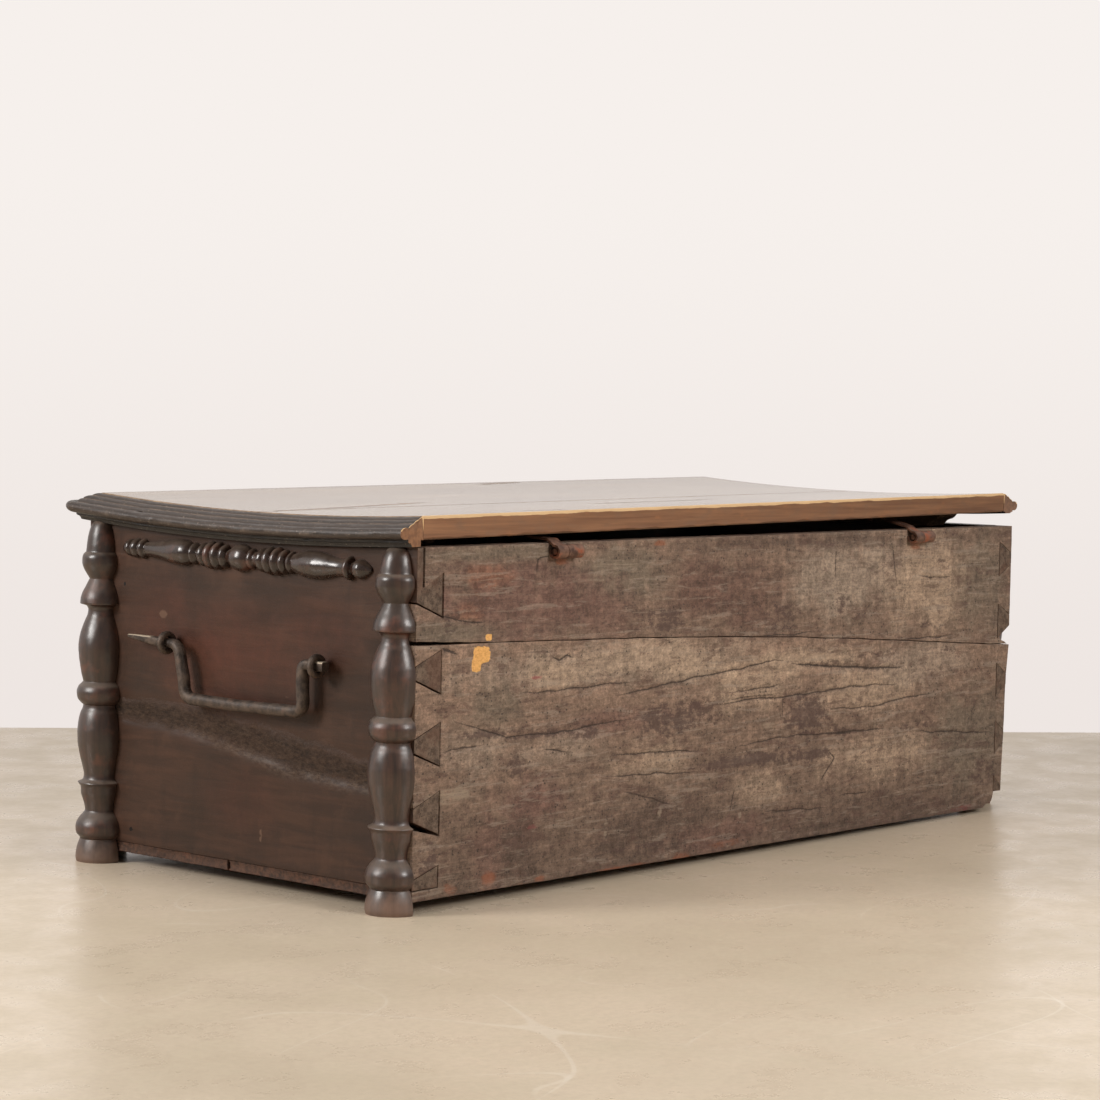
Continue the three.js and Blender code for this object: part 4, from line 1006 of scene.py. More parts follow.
DUST = [
    (610, 140, 60, 14, 0.8), (300, 412, 90, 8, 0.7), (350, 395, 60, 6, 0.5), (312, 77, 6, 5, 0.9),
    (313, 61, 5, 7, 0.9), (198, 80, 6, 9, 0.9), (65, 153, 26, 3, 0.9), (-45, 178, 18, 6, 0.8),
    (19, 58, 6, 8, 0.9), (440, 345, 150, 5, 0.5), (200, 425, 60, 4, 0.6), (60, 417, 70, 5, 0.5),
    (300, 350, 80, 4, 0.5), (-72, 152, 10, 4, 0.8), (520, 180, 60, 10, 0.5),
]
OCHRE_PATCHES = [(560, 310, 15, 10, 1.0), (570, 298, 8.5, 8.5, 1.0), (548, 331, 6, 4, 1.0)]
RUST_PATCHES = [
    (540, 30, 15, 10, 0.9), (442, 18, 12, 5, 0.9), (281, 13, 70, 5, 0.8), (152, 15, 24, 5, 0.95),
    (209, 440, 16, 4, 1.0), (613, 24, 14, 8, 0.7), (410, 421, 14, 4, 1.0), (-405, 421, 16, 7, 0.9),
    (40, 22, 60, 8, 0.6), (560, 380, 40, 20, 0.3),
]
PINK_PATCHES = [(456, 275, 13, 4, 0.9), (458, 86, 14, 4, 0.7), (-560, 12, 60, 5, 0.7)]


def patch_points(patches, spacing=2.0, border=4):
    """A fine grid over small patches, so that the mesh can hold their edges"""
    rows = []
    for x, z, half_x, half_z, _ in patches:
        across = np.arange(-half_x - border, half_x + border, spacing)
        up = np.arange(-half_z - border, half_z + border, spacing)
        rows.append(np.stack(np.meshgrid(x + across, z + up), -1).reshape(-1, 2))
    return np.vstack(rows)


def back_marks(points):
    flat = points[:, [0, 2]]
    offset, width = crack_marks(flat, BACK_CRACKS)
    seen = points[:, 1] > HALF_DEPTH - 8
    above_joint = points[:, 2] - np.array([joint_height(x) for x in points[:, 0]])
    spots = [patch_marks(flat, *row) for row in ((OCHRE_PATCHES, 5), (RUST_PATCHES,), (PINK_PATCHES,))]
    return {
        "crack_offset": offset,
        "crack_width": np.where(seen, width, NO_SPLIT),
        "tint": in_one(*tint_marks(flat, above_joint).T),
        "state": in_one(*(patch_marks(flat, patches) for patches in (DIRT, CLEAN, DUST))),
        "spot": in_one(*(spot * seen for spot in spots)),
    }


# The end board's worn band, and its patches as y, z, half width, half height, strength
BAND_TOP = [(-206, 220), (-80, 224), (23, 207), (105, 196), (218, 181)]
BAND_FOOT = [(-196, 192), (-108, 186), (-22, 177), (88, 154), (219, 147)]
END_HOLES = [(-211, 49, 5, 3, 1.0), (-229, 373, 3, 3, 1.0)]
END_WARM = [
    (-20, 290, 120, 60, 1.0), (-150, 330, 60, 50, 0.7), (130, 330, 70, 40, 0.7), (0, 110, 60, 40, 0.4),
]
END_PALE = [
    (-153, 337, 9, 6, 0.9), (36, 68, 2.5, 13, 0.9), (168, 330, 9, 2.5, 0.7),
    (146, 345, 6, 2.5, 0.6), (80, 246, 6, 3, 0.6), (20, 96, 2, 6, 0.5),
]


def band_foot(y):
    return np.interp(y, *np.array(BAND_FOOT).T)


def band_share(y, z):
    """1 in the end board's worn band, falling to 0 beyond its two edges"""
    top = np.interp(y, *np.array(BAND_TOP).T)
    foot = band_foot(y)
    return np.clip(1.3 - np.abs(z - (top + foot) / 2) / (top - foot) * 1.7, 0, 1)


def end_relief(points):
    """The worn band is eaten away unevenly, with a ridge along its lower edge"""
    y, z = points[:, 0], points[:, 1]
    share = band_share(y, z)
    rough = ripple(three(points * (0.5, 1)), 22, 4.0) + 0.4 * ripple(three(points), 7, 7.0)
    foot = band_foot(y) + 5 * ripple(three(points), 40, 2.0)
    ledge = np.clip((z - foot + 3) / 7, 0, 1) * np.clip((foot + 26 - z) / 20, 0, 1)
    return np.maximum(share * (1.6 + 1.2 * rough) + 2.2 * ledge * (np.abs(y) < 228) + 0.35, 0)


def end_marks(points):
    flat = points[:, [1, 2]]
    y, z = flat.T
    outside = np.abs(points[:, 0]) > HALF_LENGTH - 6
    foot = band_foot(y) + 6 * ripple(three(points), 34, 2.0)
    # Where the painted highlight runs: along the foot of the worn band
    ridge = np.exp(-((z - foot + 2) / 6) ** 2) * np.clip((y + 170) / 150, 0, 1)
    hole, warm, pale = (patch_marks(flat, patches) for patches in (END_HOLES, END_WARM, END_PALE))
    return {
        "band": band_share(y, z) * outside,
        "ridge": ridge * outside,
        "spot": in_one(hole, warm * outside, pale),
    }


# Back and front boards. The broken tail is given as [inwards from the left edge, z] points.
BROKEN_TAIL = [(30, 273.6), (24, 268), (13, 265), (6, 260.5)]

# The back's lower left corner is chipped off
CHIPPED_FOOT = {"along": 64, "start": 35, "height": 24}


def make_back_boards():
    end_z = {"right": joint_height(HALF_LENGTH), "left": joint_height(-HALF_LENGTH)}
    steps = np.linspace(-HALF_LENGTH, HALF_LENGTH, 110)
    low = {end: FLOOR_GAP - BACK_DROP[end] for end in SIDE}
    upper = [(x, joint_height(x) + joint_gap(x)) for x in steps[1:]]
    top_right = tail_edge("right", end_z["right"] - 2, BODY_TOP)
    top_left = tail_edge("left", end_z["left"] - 2, BODY_TOP)
    upper += [p for p in top_right if p[1] > end_z["right"] + 6]
    upper += list(reversed([p for p in top_left if p[1] > end_z["left"] + 4]))[:-1]
    upper += [(-HALF_LENGTH + inwards, z) for inwards, z in BROKEN_TAIL]
    lower = [(-HALF_LENGTH + CHIPPED_FOOT["along"], low["left"]), (HALF_LENGTH, low["right"])]
    low_right = tail_edge("right", low["right"], end_z["right"])
    low_left = tail_edge("left", low["left"], end_z["left"])
    lower += [p for p in low_right if low["right"] + 1 < p[1] < end_z["right"] - 4]
    lower += [(x, joint_height(x) - joint_gap(x)) for x in reversed(steps)]
    lower += reversed([p for p in low_left if low["left"] + 1 < p[1] < end_z["left"] - 4])
    lower += [(-HALF_LENGTH + CHIPPED_FOOT["start"], CHIPPED_FOOT["height"])]
    extra = np.vstack([crack_points(BACK_CRACKS), patch_points(OCHRE_PATCHES)])
    for name, outline, seed in (("back_board_upper", upper, 3), ("back_board_lower", worn_end(lower), 8)):
        shape = board(
            outline, BACK_THICK, back_face, spacing=5, edge=1.0, ragged=0.35, seed=seed,
            extra=extra, relief=split_relief(BACK_CRACKS, 1.2, 0.5),
        )
        make_piece(name, [shape], looks["back"], "carcass", marks=back_marks)


KEYHOLE = {"radius": 6, "slot": 3.5, "drop": 19, "height": 380}


def keyhole_outline():
    radius, half = KEYHOLE["radius"], KEYHOLE["slot"]
    spread = math.asin(half / radius)
    turn = [-math.pi / 2 + spread + (2 * math.pi - 2 * spread) * i / 16 for i in range(17)]
    loop = [(radius * math.cos(a), KEYHOLE["height"] + radius * math.sin(a)) for a in turn]
    foot = KEYHOLE["height"] - KEYHOLE["drop"]
    return [*loop, (-half, foot), (half, foot)]


def make_front_board():
    outline = [(-HALF_LENGTH + END_THICK["left"], FLOOR_GAP), *tail_edge("right", FLOOR_GAP, BODY_TOP)]
    outline += reversed([p for p in tail_edge("left", FLOOR_GAP, BODY_TOP) if p[1] > FLOOR_GAP + 1])
    shape = board(
        outline, BACK_THICK, front_face, spacing=9, edge=1.6, ragged=0.3, seed=5,
        holes=[keyhole_outline()],
    )
    make_piece("front_board", [shape], looks["front"], "carcass")


# End boards: a panel between the front and back boards, with its pins at both edges
def end_top(end, y):
    """The right end's top follows the moulding over it; the left end's is level where it can be"""
    top = lid_rise(SIDE[end] * HALF_LENGTH, y) - HANG[end] - LID_ROOM[end]
    return top if end == "right" else min(BODY_TOP, top)


def make_end_board(end):
    face = right_face if end == "right" else left_face
    steps = np.linspace(-HALF_DEPTH, HALF_DEPTH, 25)
    inner = [y for y in steps if abs(y) < INNER_Y - 4]
    reach = INNER_Y - FIT
    outline = [(-reach, FLOOR_TOP), (reach, FLOOR_TOP), (reach, end_top(end, reach))]
    outline += [(y, end_top(end, y)) for y in reversed(inner)] + [(-reach, end_top(end, -reach))]
    parts = [board(
        outline, END_THICK[end], face, spacing=5, edge=0.6, ragged=0.0, seed=11,
        relief=end_relief if end == "right" else None,
    )]
    for side, across in ((1, back_face), (-1, front_face)):
        for i, pin in enumerate(pins_of(end)):
            low = max(pin["root"][0], FLOOR_TOP)
            shape = [(x, max(z, low)) for x, z in socket(end, pin, (0, 0, -0.3))]
            if end == "right" and i + 1 == len(pins_of(end)):
                lap = HALF_LENGTH - TOP_LAP
                top = end_top(end, side * HALF_DEPTH)
                shape = shape[:3] + [(lap, shape[3][1] + 2), (lap, top), (HALF_LENGTH, top)]
            if end == "left" and side == 1:
                shape = worn_end(shape)
            parts.append(board(
                shape, BACK_THICK, across, spacing=5, edge=0.8, ragged=0.25, seed=20 + i,
                relief=split_relief([], 0, 0.5) if side == 1 else None,
            ))
    make_piece(f"end_board_{end}", parts, looks["end"], "carcass", marks=end_marks)


# Bottom boards, whose rough ends show under the end boards
BOTTOM_JOINT_Y = -24


def make_bottom_boards():
    def from_below(u, v, depth):
        return (u, v, FLOOR_GAP + depth)

    thick = FLOOR_TOP - FIT - FLOOR_GAP
    rows = {"front": (-INNER_Y + FIT, BOTTOM_JOINT_Y - FIT), "back": (BOTTOM_JOINT_Y, INNER_Y - FIT)}
    for name, (y0, y1) in rows.items():
        outline = [(-HALF_LENGTH, y0), (HALF_LENGTH, y0), (HALF_LENGTH, y1), (-HALF_LENGTH, y1)]
        shape = board(outline, thick, from_below, spacing=14, edge=1.6, ragged=1.4, seed=31, sides=4)
        make_piece(f"bottom_board_{name}", [shape], looks["floor_boards"], "carcass")


# Turned ornament. Each run of the outline is smooth, and the steps between runs are sharp.
BALUSTER_RUNS = [
    [(0, 34), (5, 35.2), (13, 34.4), (22, 32.3), (30, 29.5)],
    [(30.5, 28.4), (34.4, 31.8), (38.8, 34.8), (46.3, 35.3), (50.8, 34.4), (58.4, 30.3), (64.8, 24.7),
     (67.9, 22.9), (74, 23.6), (83, 26.1), (92, 28.7), (99.7, 29.1), (105, 32.8)],
    [(105.8, 32.4), (108, 27.6), (110.5, 25.6), (116, 24.7), (125, 26.1), (137, 29), (149, 31.7),
     (161, 33.6), (173, 33.8), (185, 32.5), (197, 29.9), (206.5, 26.2), (209, 26)],
    [(209.4, 26.4), (212.5, 29.9), (218.5, 33.9), (226, 34.8), (233.5, 32.5), (238, 28.1), (240, 26.3)],
    [(240.4, 26.1), (249, 28.4), (261, 30.7), (273, 32.3), (285, 32.9), (297, 31.9), (309, 28.9),
     (321, 24.5), (330, 20.8), (336, 20.1), (341, 22.5), (343.6, 30.6)],
    [(344.4, 31), (350.5, 30.4), (357, 28.5), (366, 24.1), (372, 21), (377, 18.4)],
    [(377.6, 18.6), (384, 22.6), (391, 26.4), (398, 28.4), (405, 28.3), (410, 26.4), (412.6, 23.6)],
]
FINIAL = [(413, 23.4), (420, 22.6), (428, 21), (435, 18.6), (440, 15.8), (443.4, 12), (444.4, 8)]
SPINDLE_RUNS = [
    [(-227, 4), (-222, 9.5), (-214, 12), (-210, 9.6)],
    [(-209.4, 10), (-205.5, 13), (-202, 13.8), (-198, 12.6), (-195.6, 10)],
    [(-195, 10), (-190.5, 13.4), (-187, 14), (-183.6, 12.2), (-182, 10)],
    [(-181.6, 9.8), (-174, 10.4), (-160, 12), (-140, 15), (-120, 17.4), (-106, 17.8), (-97, 15.6),
     (-91.5, 11.5)],
    [(-91, 12.4), (-86.5, 15), (-82, 12.8), (-79, 10)],
    [(-76, 10.5), (-72, 14.6), (-68, 16.2), (-64, 15), (-61.6, 13)],
    [(-61, 13.4), (-57.5, 17.6), (-54, 18.8), (-50, 17.6), (-47.6, 14.6)],
    [(-47, 14.6), (-43.5, 18), (-40, 18.9), (-36, 17.6), (-33.6, 14)],
    [(-33, 13.6), (-30, 15.8), (-27, 16.2), (-23.5, 14.4), (-21.6, 11.4)],
    [(-21, 10.4), (-17, 11), (-12, 14.4), (-4, 17.6), (4, 18.3), (11, 16.8), (17, 13.2), (18.6, 11.6)],
    [(19, 12.4), (22.5, 14), (26, 13.2), (28.6, 10.2)],
    [(29.2, 10), (36, 11.2), (39, 14.4), (43, 16), (47, 15), (49.6, 13.2)],
    [(50.2, 13.6), (53.5, 17.4), (57.5, 18.6), (61.5, 17.2), (64, 14.2)],
    [(64.6, 14.2), (68, 17.6), (71.5, 18.8), (75.5, 17.4), (78, 14.4)],
    [(78.6, 14), (82, 16), (85, 16.4), (88.6, 14.2), (90.6, 10.6)],
    [(91.2, 11), (95, 14.4), (98, 14.6), (100.5, 12.2)],
    [(101, 12.4), (112, 15.6), (126, 17.9), (142, 18.2), (160, 15.6), (174, 12.4), (186, 11.2), (193, 11.6)],
    [(193.6, 12.6), (197, 15.4), (200, 15.8), (203, 14), (204.6, 9.6)],
    [(205, 9.2), (209, 10.2), (213, 12.8), (219, 13), (225, 10.8), (230, 7.6), (234, 5), (236, 3)],
]
# How high the posts are drawn, and how far their axes stand in from the corners
BALUSTER_HEIGHT = 444
BALUSTER_INSET = {"right": 31, "left": 50}
FRONT_INSET = 36.5

# The right front post has a taller finial and leans
TALLER = 1.32
LEANING = -3.5

# How far the foot of the left back post reaches past its axis, and how its split runs outwards
SPLIT_FOOT = 3
SPLIT_SLOPE = 0.35

# Spindles: half their drawn length, the room left beside them, and how far below the top they sit.
# The one on the right end is lower, stops short of the back post and slopes.
SPINDLE_HALF = 230
SPINDLE_ROOM = 39
SPINDLE_DROP = 25.5
SPINDLE_LOW = 2.3
SPINDLE_SHY = 5
SPINDLE_SLOPE = 7

# Turnings are slimmer than drawn by this much, and their unevenness is no larger
TURNING_WEAR = 0.65


def turned(runs, middle, up, out, stretch=1.0, seed=1, lean=0.0, steps=30):
    """Half of a turning on a flat back: up is its axis and out points away from the board"""
    up, out = Vector(up), Vector(out)
    across = up.cross(out)
    rings = []
    for run in runs:
        for height, radius in smooth_curve(run, 1.8):
            leaning = across * (lean * max(height, 0) / BALUSTER_HEIGHT)
            centre = Vector(middle) + up * (height * stretch) + leaning
            ring = []
            for k in range(steps + 1):
                angle = math.pi * (k / steps - 0.5)
                spot = Vector((math.cos(angle) * 1.6, math.sin(angle) * 1.6, height / 34 + seed * 7.7))
                real = radius - TURNING_WEAR + 0.45 * noise.noise(spot) + 0.2 * noise.noise(spot * 5)
                ring.append(centre + out * (real * math.cos(angle)) + across * (real * math.sin(angle)))
            rings.append([tuple(p) for p in ring])
    return loft(rings)


def turning_marks(points):
    height = points[:, 2]
    foot = 0.95 * np.clip(1.15 - height / 42, 0, 1)
    ledge = 0.55 * np.clip(1 - np.abs(height - 105) / 5, 0, 1)
    return {"wear": np.maximum(foot, ledge)}


def no_wear(points):
    return {"wear": np.zeros(len(points))}


def make_turned(name, shape, look="turned", marks=turning_marks):
    make_piece(name, [shape], looks[look], "carcass", marks=marks, smooth=34)


def make_balusters():
    foot = FINIAL[0][0]
    for i, (end, side) in enumerate(SIDE.items()):
        for k, (row, across) in enumerate((("front", -1), ("back", 1))):
            middle = (side * (HALF_LENGTH + FIT), across * (HALF_DEPTH - BALUSTER_INSET[end]), 0)
            leaning = (end, row) == ("right", "front")
            taller = TALLER if leaning else 1.0
            finial = [(foot + (height - foot) * taller, radius) for height, radius in FINIAL]
            shape = turned(
                [*BALUSTER_RUNS, finial], middle, (0, 0, 1), (side, 0, 0),
                seed=2 * i + k + 1, lean=LEANING * side if leaning else 0.0,
            )
            if (end, row) == ("left", "back"):
                points, faces = shape
                limit = HALF_DEPTH - BALUSTER_INSET[end] + SPLIT_FOOT
                shape = [(x, min(y, limit + SPLIT_SLOPE * z), z) for x, y, z in points], faces
            make_turned(f"baluster_{end}_{row}", shape)
    spacing = 2 * (HALF_LENGTH - FRONT_INSET) / 3
    for i in range(4):
        middle = (-HALF_LENGTH + FRONT_INSET + i * spacing, -HALF_DEPTH - FIT, 0)
        shape = turned([*BALUSTER_RUNS, FINIAL], middle, (0, 0, 1), (0, -1, 0), seed=11 + i)
        make_turned(f"baluster_front_{i + 1}", shape)


def make_spindles():
    height = BODY_TOP - SPINDLE_DROP
    jobs = []
    for end, side in SIDE.items():
        spacing = 2 * (HALF_DEPTH - BALUSTER_INSET[end])
        slope = SPINDLE_SLOPE / (spacing - 2 * SPINDLE_ROOM) if end == "right" else 0.0
        low = SPINDLE_LOW if end == "right" else 0.0
        shy = SPINDLE_SHY if end == "right" else 0.0
        middle = (side * (HALF_LENGTH + FIT), -shy, height - low)
        up = Vector((0, 1, -slope)).normalized()
        jobs.append((end, middle, up, (side, 0, 0), spacing / 2 - SPINDLE_ROOM - shy, "spindle_y"))
    spacing = 2 * (HALF_LENGTH - FRONT_INSET) / 3
    for i in range(3):
        middle = ((i - 1) * spacing, -HALF_DEPTH - FIT, height)
        half = spacing / 2 - SPINDLE_ROOM
        jobs.append((f"front_{i + 1}", middle, (1, 0, 0), (0, -1, 0), half, "spindle_x"))
    for i, (name, middle, up, out, half, look) in enumerate(jobs):
        shape = turned(SPINDLE_RUNS, middle, up, out, stretch=half / SPINDLE_HALF, seed=21 + i, steps=22)
        make_turned(f"spindle_{name}", shape, look, no_wear)


# Lid
def lid_rise(x, y):
    away = (HALF_LENGTH - x) / (2 * HALF_LENGTH)
    forward = -y / HALF_DEPTH
    return BODY_TOP + LID_SEAT + LID_LIFT * away + LID_FRONT_LIFT * forward + LID_CUP * forward ** 2


def lid_edge(side):
    return LID_SHIFT + side * (HALF_LENGTH - LID_END_INSET)


LID_FRONT = HALF_DEPTH - LID_FRONT_INSET

# Splits of the lid's top: half width, and the line as [x, y] points
LID_CRACKS = [
    (1.8, [(671, 14), (560, 2), (430, -22), (280, -50)]),
    (2.2, [(397, 218), (360, 232), (331, 240)]),
    (1.6, [(-60, -268), (-117, -275), (-170, -279)]),
    (1.0, [(120, 90), (-60, 96), (-200, 88)]),
]


def lid_marks(points):
    offset, width = crack_marks(points[:, :2], LID_CRACKS, 12.0)
    above = points[:, 2] - np.array([lid_rise(x, y) for x, y, _ in points])
    back = np.clip((points[:, 1] - HALF_DEPTH + 3.2) / 1.6, 0, 1)
    arris = ((points[:, 1] > HALF_DEPTH - 4.5) & (above > LID_THICK - 3.6)).astype(float)
    below = (above < LID_THICK - 8).astype(float) * (points[:, 1] < HALF_DEPTH - 2)
    return {
        "crack_offset": offset,
        "crack_width": np.where(above > LID_THICK - 3, width, NO_SPLIT),
        "face": in_one(back, arris, below),
    }


def make_lid_boards():
    def on_lid(u, v, depth):
        return (u, v, lid_rise(u, v) + LID_THICK - depth)

    rows = {"front": (-LID_FRONT, LID_JOINT_Y - FIT, 1), "back": (LID_JOINT_Y, HALF_DEPTH, 5)}
    for name, (y0, y1, sides) in rows.items():
        outline = [(lid_edge(-1), y0), (lid_edge(1), y0), (lid_edge(1), y1), (lid_edge(-1), y1)]
        shape = board(
            outline, LID_THICK, on_lid, spacing=8, edge=2.4, ragged=0.2, seed=41, sides=sides,
            extra=crack_points(LID_CRACKS), relief=split_relief(LID_CRACKS, 1.5, 0.2),
        )
        make_piece(f"lid_board_{name}", [shape], looks["lid"], "lid", marks=lid_marks)


# The lid moulding's section, as [outwards, up from the lid's underside].
# Its reeds are given by start, height, width and fall.
REEDS = ((0.6, 28.6, 8.0, 3.0), (9.0, 24.9, 8.0, 3.6), (17.4, 20.4, 8.4, 4.2))
NOSE = {"wide": 8.6, "high": 7.2, "up": 8.4}

# Fillets under the nose: outwards, and down as a share of how far the moulding hangs
FILLETS = ((26.2, 0.25), (24.4, 0.4), (22.6, 0.36), (21.6, 0.62), (20.6, 0.66), (19.6, 1), (4.7, 1), (4.7, 0))


def moulding_section(hang):
    """From the lid outwards: three reeds in steps, the nose, then a cove and two fillets underneath"""
    section = [(0.3, LID_THICK - 2.6)]
    for start, high, width, fall in REEDS:
        section.append((start, high - 1.8))
        for i in range(7):
            share = i / 6
            swell = math.sin(math.pi * (0.1 + 0.9 * share)) ** 0.6
            section.append((start + 0.3 + width * share, high - fall * share - 1.5 + 1.5 * swell))
        section.append((start + width + 0.2, high - fall - 2.6))
    for i in range(12):
        angle = math.radians(112 - i * 20)
        out = NOSE_REACH - NOSE["wide"] + NOSE["wide"] * math.cos(angle)
        section.append((out, NOSE["up"] + NOSE["high"] * math.sin(angle)))
    return [*section, (26.6, 1.4), *((out, -share * hang) for out, share in FILLETS), (0.3, 0)]


def relief_of(section):
    """Along the section: its sharp crests, lightened as rubbed wear and painted highlight, and where it lies
    in a quirk or underneath, darkened as grime and painted shade
    """
    line = np.array(section)
    before = line - np.roll(line, 1, 0)
    after = np.roll(line, -1, 0) - line
    turn = before[:, 0] * after[:, 1] - before[:, 1] * after[:, 0]
    turn /= np.linalg.norm(before, axis=1) * np.linalg.norm(after, axis=1) + 1e-6
    # Painted shade: the underside and the inner face count as in shade
    under = np.where((line[:, 1] < 3) | (line[:, 0] < 0.5), 0.7, 0.0)
    above = (line[:, 1] > 4) & (line[:, 0] > 0.8)
    # Upward faces get a little rubbed wear and painted highlight, the sharp crests more
    crest_wear_and_highlight = np.where(above, 0.12 + np.clip(-turn * 3 - 0.9, 0, 0.7), 0.0)
    return crest_wear_and_highlight, np.clip(np.maximum(turn * 3, under), 0, 1)


def worn_corner(x, y, side):
    """Rounds the mitred corner in plan"""
    centre = (lid_edge(side) + side * (NOSE_REACH - CORNER_WEAR), -LID_FRONT - NOSE_REACH + CORNER_WEAR)
    out, front = side * (x - centre[0]), centre[1] - y
    if out <= 0 or front <= 0:
        return x, y
    scale = max(out, front) / math.hypot(out, front)
    return centre[0] + side * out * scale, centre[1] - front * scale


def moulding_frame(section, place, seed):
    """The section at one place along the moulding, with old knocks on its nose"""
    ring = []
    for out, up in section:
        x, y = place(out)
        spot = Vector((x, y, up * 1.5))
        knock = max(0.0, noise.noise(spot / 17 + Vector((seed, 0, 0))) - 0.25) * 3.2
        knock += max(0.0, noise.noise(spot / 60 + Vector((0, seed, 0))) - 0.1) * 2.0
        out_worn = out - (knock if out > 26 and up > 0 else 0.12 * knock)
        x, y = place(out_worn)
        x, y = worn_corner(*worn_corner(x, y, 1), -1)
        ring.append((x, y, lid_rise(x, y) + up + 0.35 * noise.noise(spot / 45)))
    return ring


# How far the front moulding stays clear of its mitres, and the steps along each moulding
MITRE_GAP = 0.42
SIDE_STEPS = 150
FRONT_STEPS = 300


def make_mouldings():
    for end, side in SIDE.items():
        section = moulding_section(HANG[end])
        rings = []
        for share in [*(i / SIDE_STEPS for i in range(SIDE_STEPS)), 0.9985, 1.0]:

            def place(out, share=share):
                front = -LID_FRONT - out
                return lid_edge(side) + side * out, front + (HALF_DEPTH - front) * share

            rings.append(moulding_frame(section, place, 3 * side))
        middle = np.mean(rings[-1], axis=0)
        for shrink in (0.98, 0.84, 0.8):
            rings.append([tuple(middle + shrink * (np.array(p) - middle)) for p in rings[-1]])
        line = np.array(section)
        sawn = np.zeros((len(rings), len(section)))
        sawn[-4:] = 1
        arris = np.zeros(sawn.shape)
        arris[-4:-2] = (line[:, 1] > 11) & (line[:, 0] > 0.2)
        finish_moulding(end, rings, section, "moulding_y", sawn, arris)
    rings = []
    for i in range(FRONT_STEPS + 1):
        share = i / FRONT_STEPS
        section = moulding_section(HANG["left"] + (HANG["right"] - HANG["left"]) * share)

        def place(out, share=share):
            left, right = lid_edge(-1) - out + MITRE_GAP, lid_edge(1) + out - MITRE_GAP
            return left + (right - left) * share, -LID_FRONT - out

        rings.append(moulding_frame(section, place, 9))
    none = np.zeros((len(rings), len(section)))
    finish_moulding("front", rings, section, "moulding_x", none, none)


def finish_moulding(name, rings, section, look, sawn, arris):
    crest_wear_and_highlight, hollow_grime_and_shade = (np.tile(mark, len(rings)) for mark in relief_of(section))
    marks = {"relief": in_one(crest_wear_and_highlight, hollow_grime_and_shade, sawn.ravel()), "arris": arris.ravel()}
    make_piece(
        f"lid_moulding_{name}", [loft(rings)], looks[look], "lid",
        marks=lambda points: marks, smooth=40,
    )


def make_battens():
    low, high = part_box("lid_batten_right")
    width, height, ogee = (high.x - low.x) / MM, 20, 26
    reach = INNER_Y - 35
    for end, side in SIDE.items():
        x0 = side * high.x / MM
        outline = []
        for i in range(9):
            share = i / 8
            wave = share + math.sin(2 * math.pi * share) / (2 * math.pi) * 0.8
            outline.append((reach - ogee * share, height * wave))
        shape = [(-y, z) for y, z in outline] + list(reversed(outline))

        def across(u, v, depth, side=side, x0=x0):
            x = x0 - side * depth
            return (x, u, lid_rise(x, u) - FIT - v)

        outline = [(y, max(z, 0.0)) for y, z in shape]
        part = board(outline, width, across, spacing=7, edge=1.5, ragged=0.3, seed=51)
        make_piece(f"lid_batten_{end}", [part], looks["inside_y"], "lid")


# Iron bars: a centre line of (x, y, z, half height, half width, squareness) stations
def bar(stations, side, around=16, seed=1):
    points = np.array([s[:3] for s in stations], float)
    rings = []
    for i, (x, y, z, high, wide, square) in enumerate(stations):
        ahead = points[min(i + 1, len(points) - 1)] - points[max(i - 1, 0)]
        ahead = Vector(ahead).normalized()
        across = Vector(side)
        upward = across.cross(ahead).normalized()
        across = ahead.cross(upward).normalized()
        ring = []
        for k in range(around):
            angle = 2 * math.pi * k / around
            c, s = math.cos(angle), math.sin(angle)
            grow = 1 / max(abs(c), abs(s)) if square else 1.0
            grow = 1 + (grow - 1) * square
            spot = Vector((x, y, z)) / 16 + Vector((c, s, seed * 3.1))
            real = grow * (1 + 0.05 * noise.noise(spot))
            ring.append(tuple(Vector((x, y, z)) + across * (wide * c * real) + upward * (high * s * real)))
        rings.append(ring)
    return loft(rings)


def rounded(points, bends, step=3.0):
    """A line through points whose corners are rounded, with its other values blended along it"""
    points = [np.array(p, float) for p in points]
    line = [points[0]]
    for i in range(1, len(points)):
        end = points[i]
        bend = bends.get(i, 0.0)
        start = line[-1]
        if bend and i + 1 < len(points):
            before, after = (
                end + (other - end) * bend / np.linalg.norm((other - end)[:3])
                for other in (points[i - 1], points[i + 1])
            )
            ease = np.linspace(0, 1, 7)
            arc = [(1 - t) ** 2 * before + 2 * t * (1 - t) * end + t * t * after for t in ease]
        else:
            arc = [end]
        count = max(1, int(np.linalg.norm((arc[0] - start)[:3]) / step))
        line += [start + (arc[0] - start) * k / count for k in range(1, count)]
        line += arc
    return [tuple(p) for p in line]


# Handles: how far their axis stands off the end board, and the eyes' places as [y, z]
EYE_STANDOFF = 18
EYE_RADIUS = 11
FRONT_EYE = (-125, 302.3)
BACK_EYE = (150, 292.5)
BAIL_DROP = 64


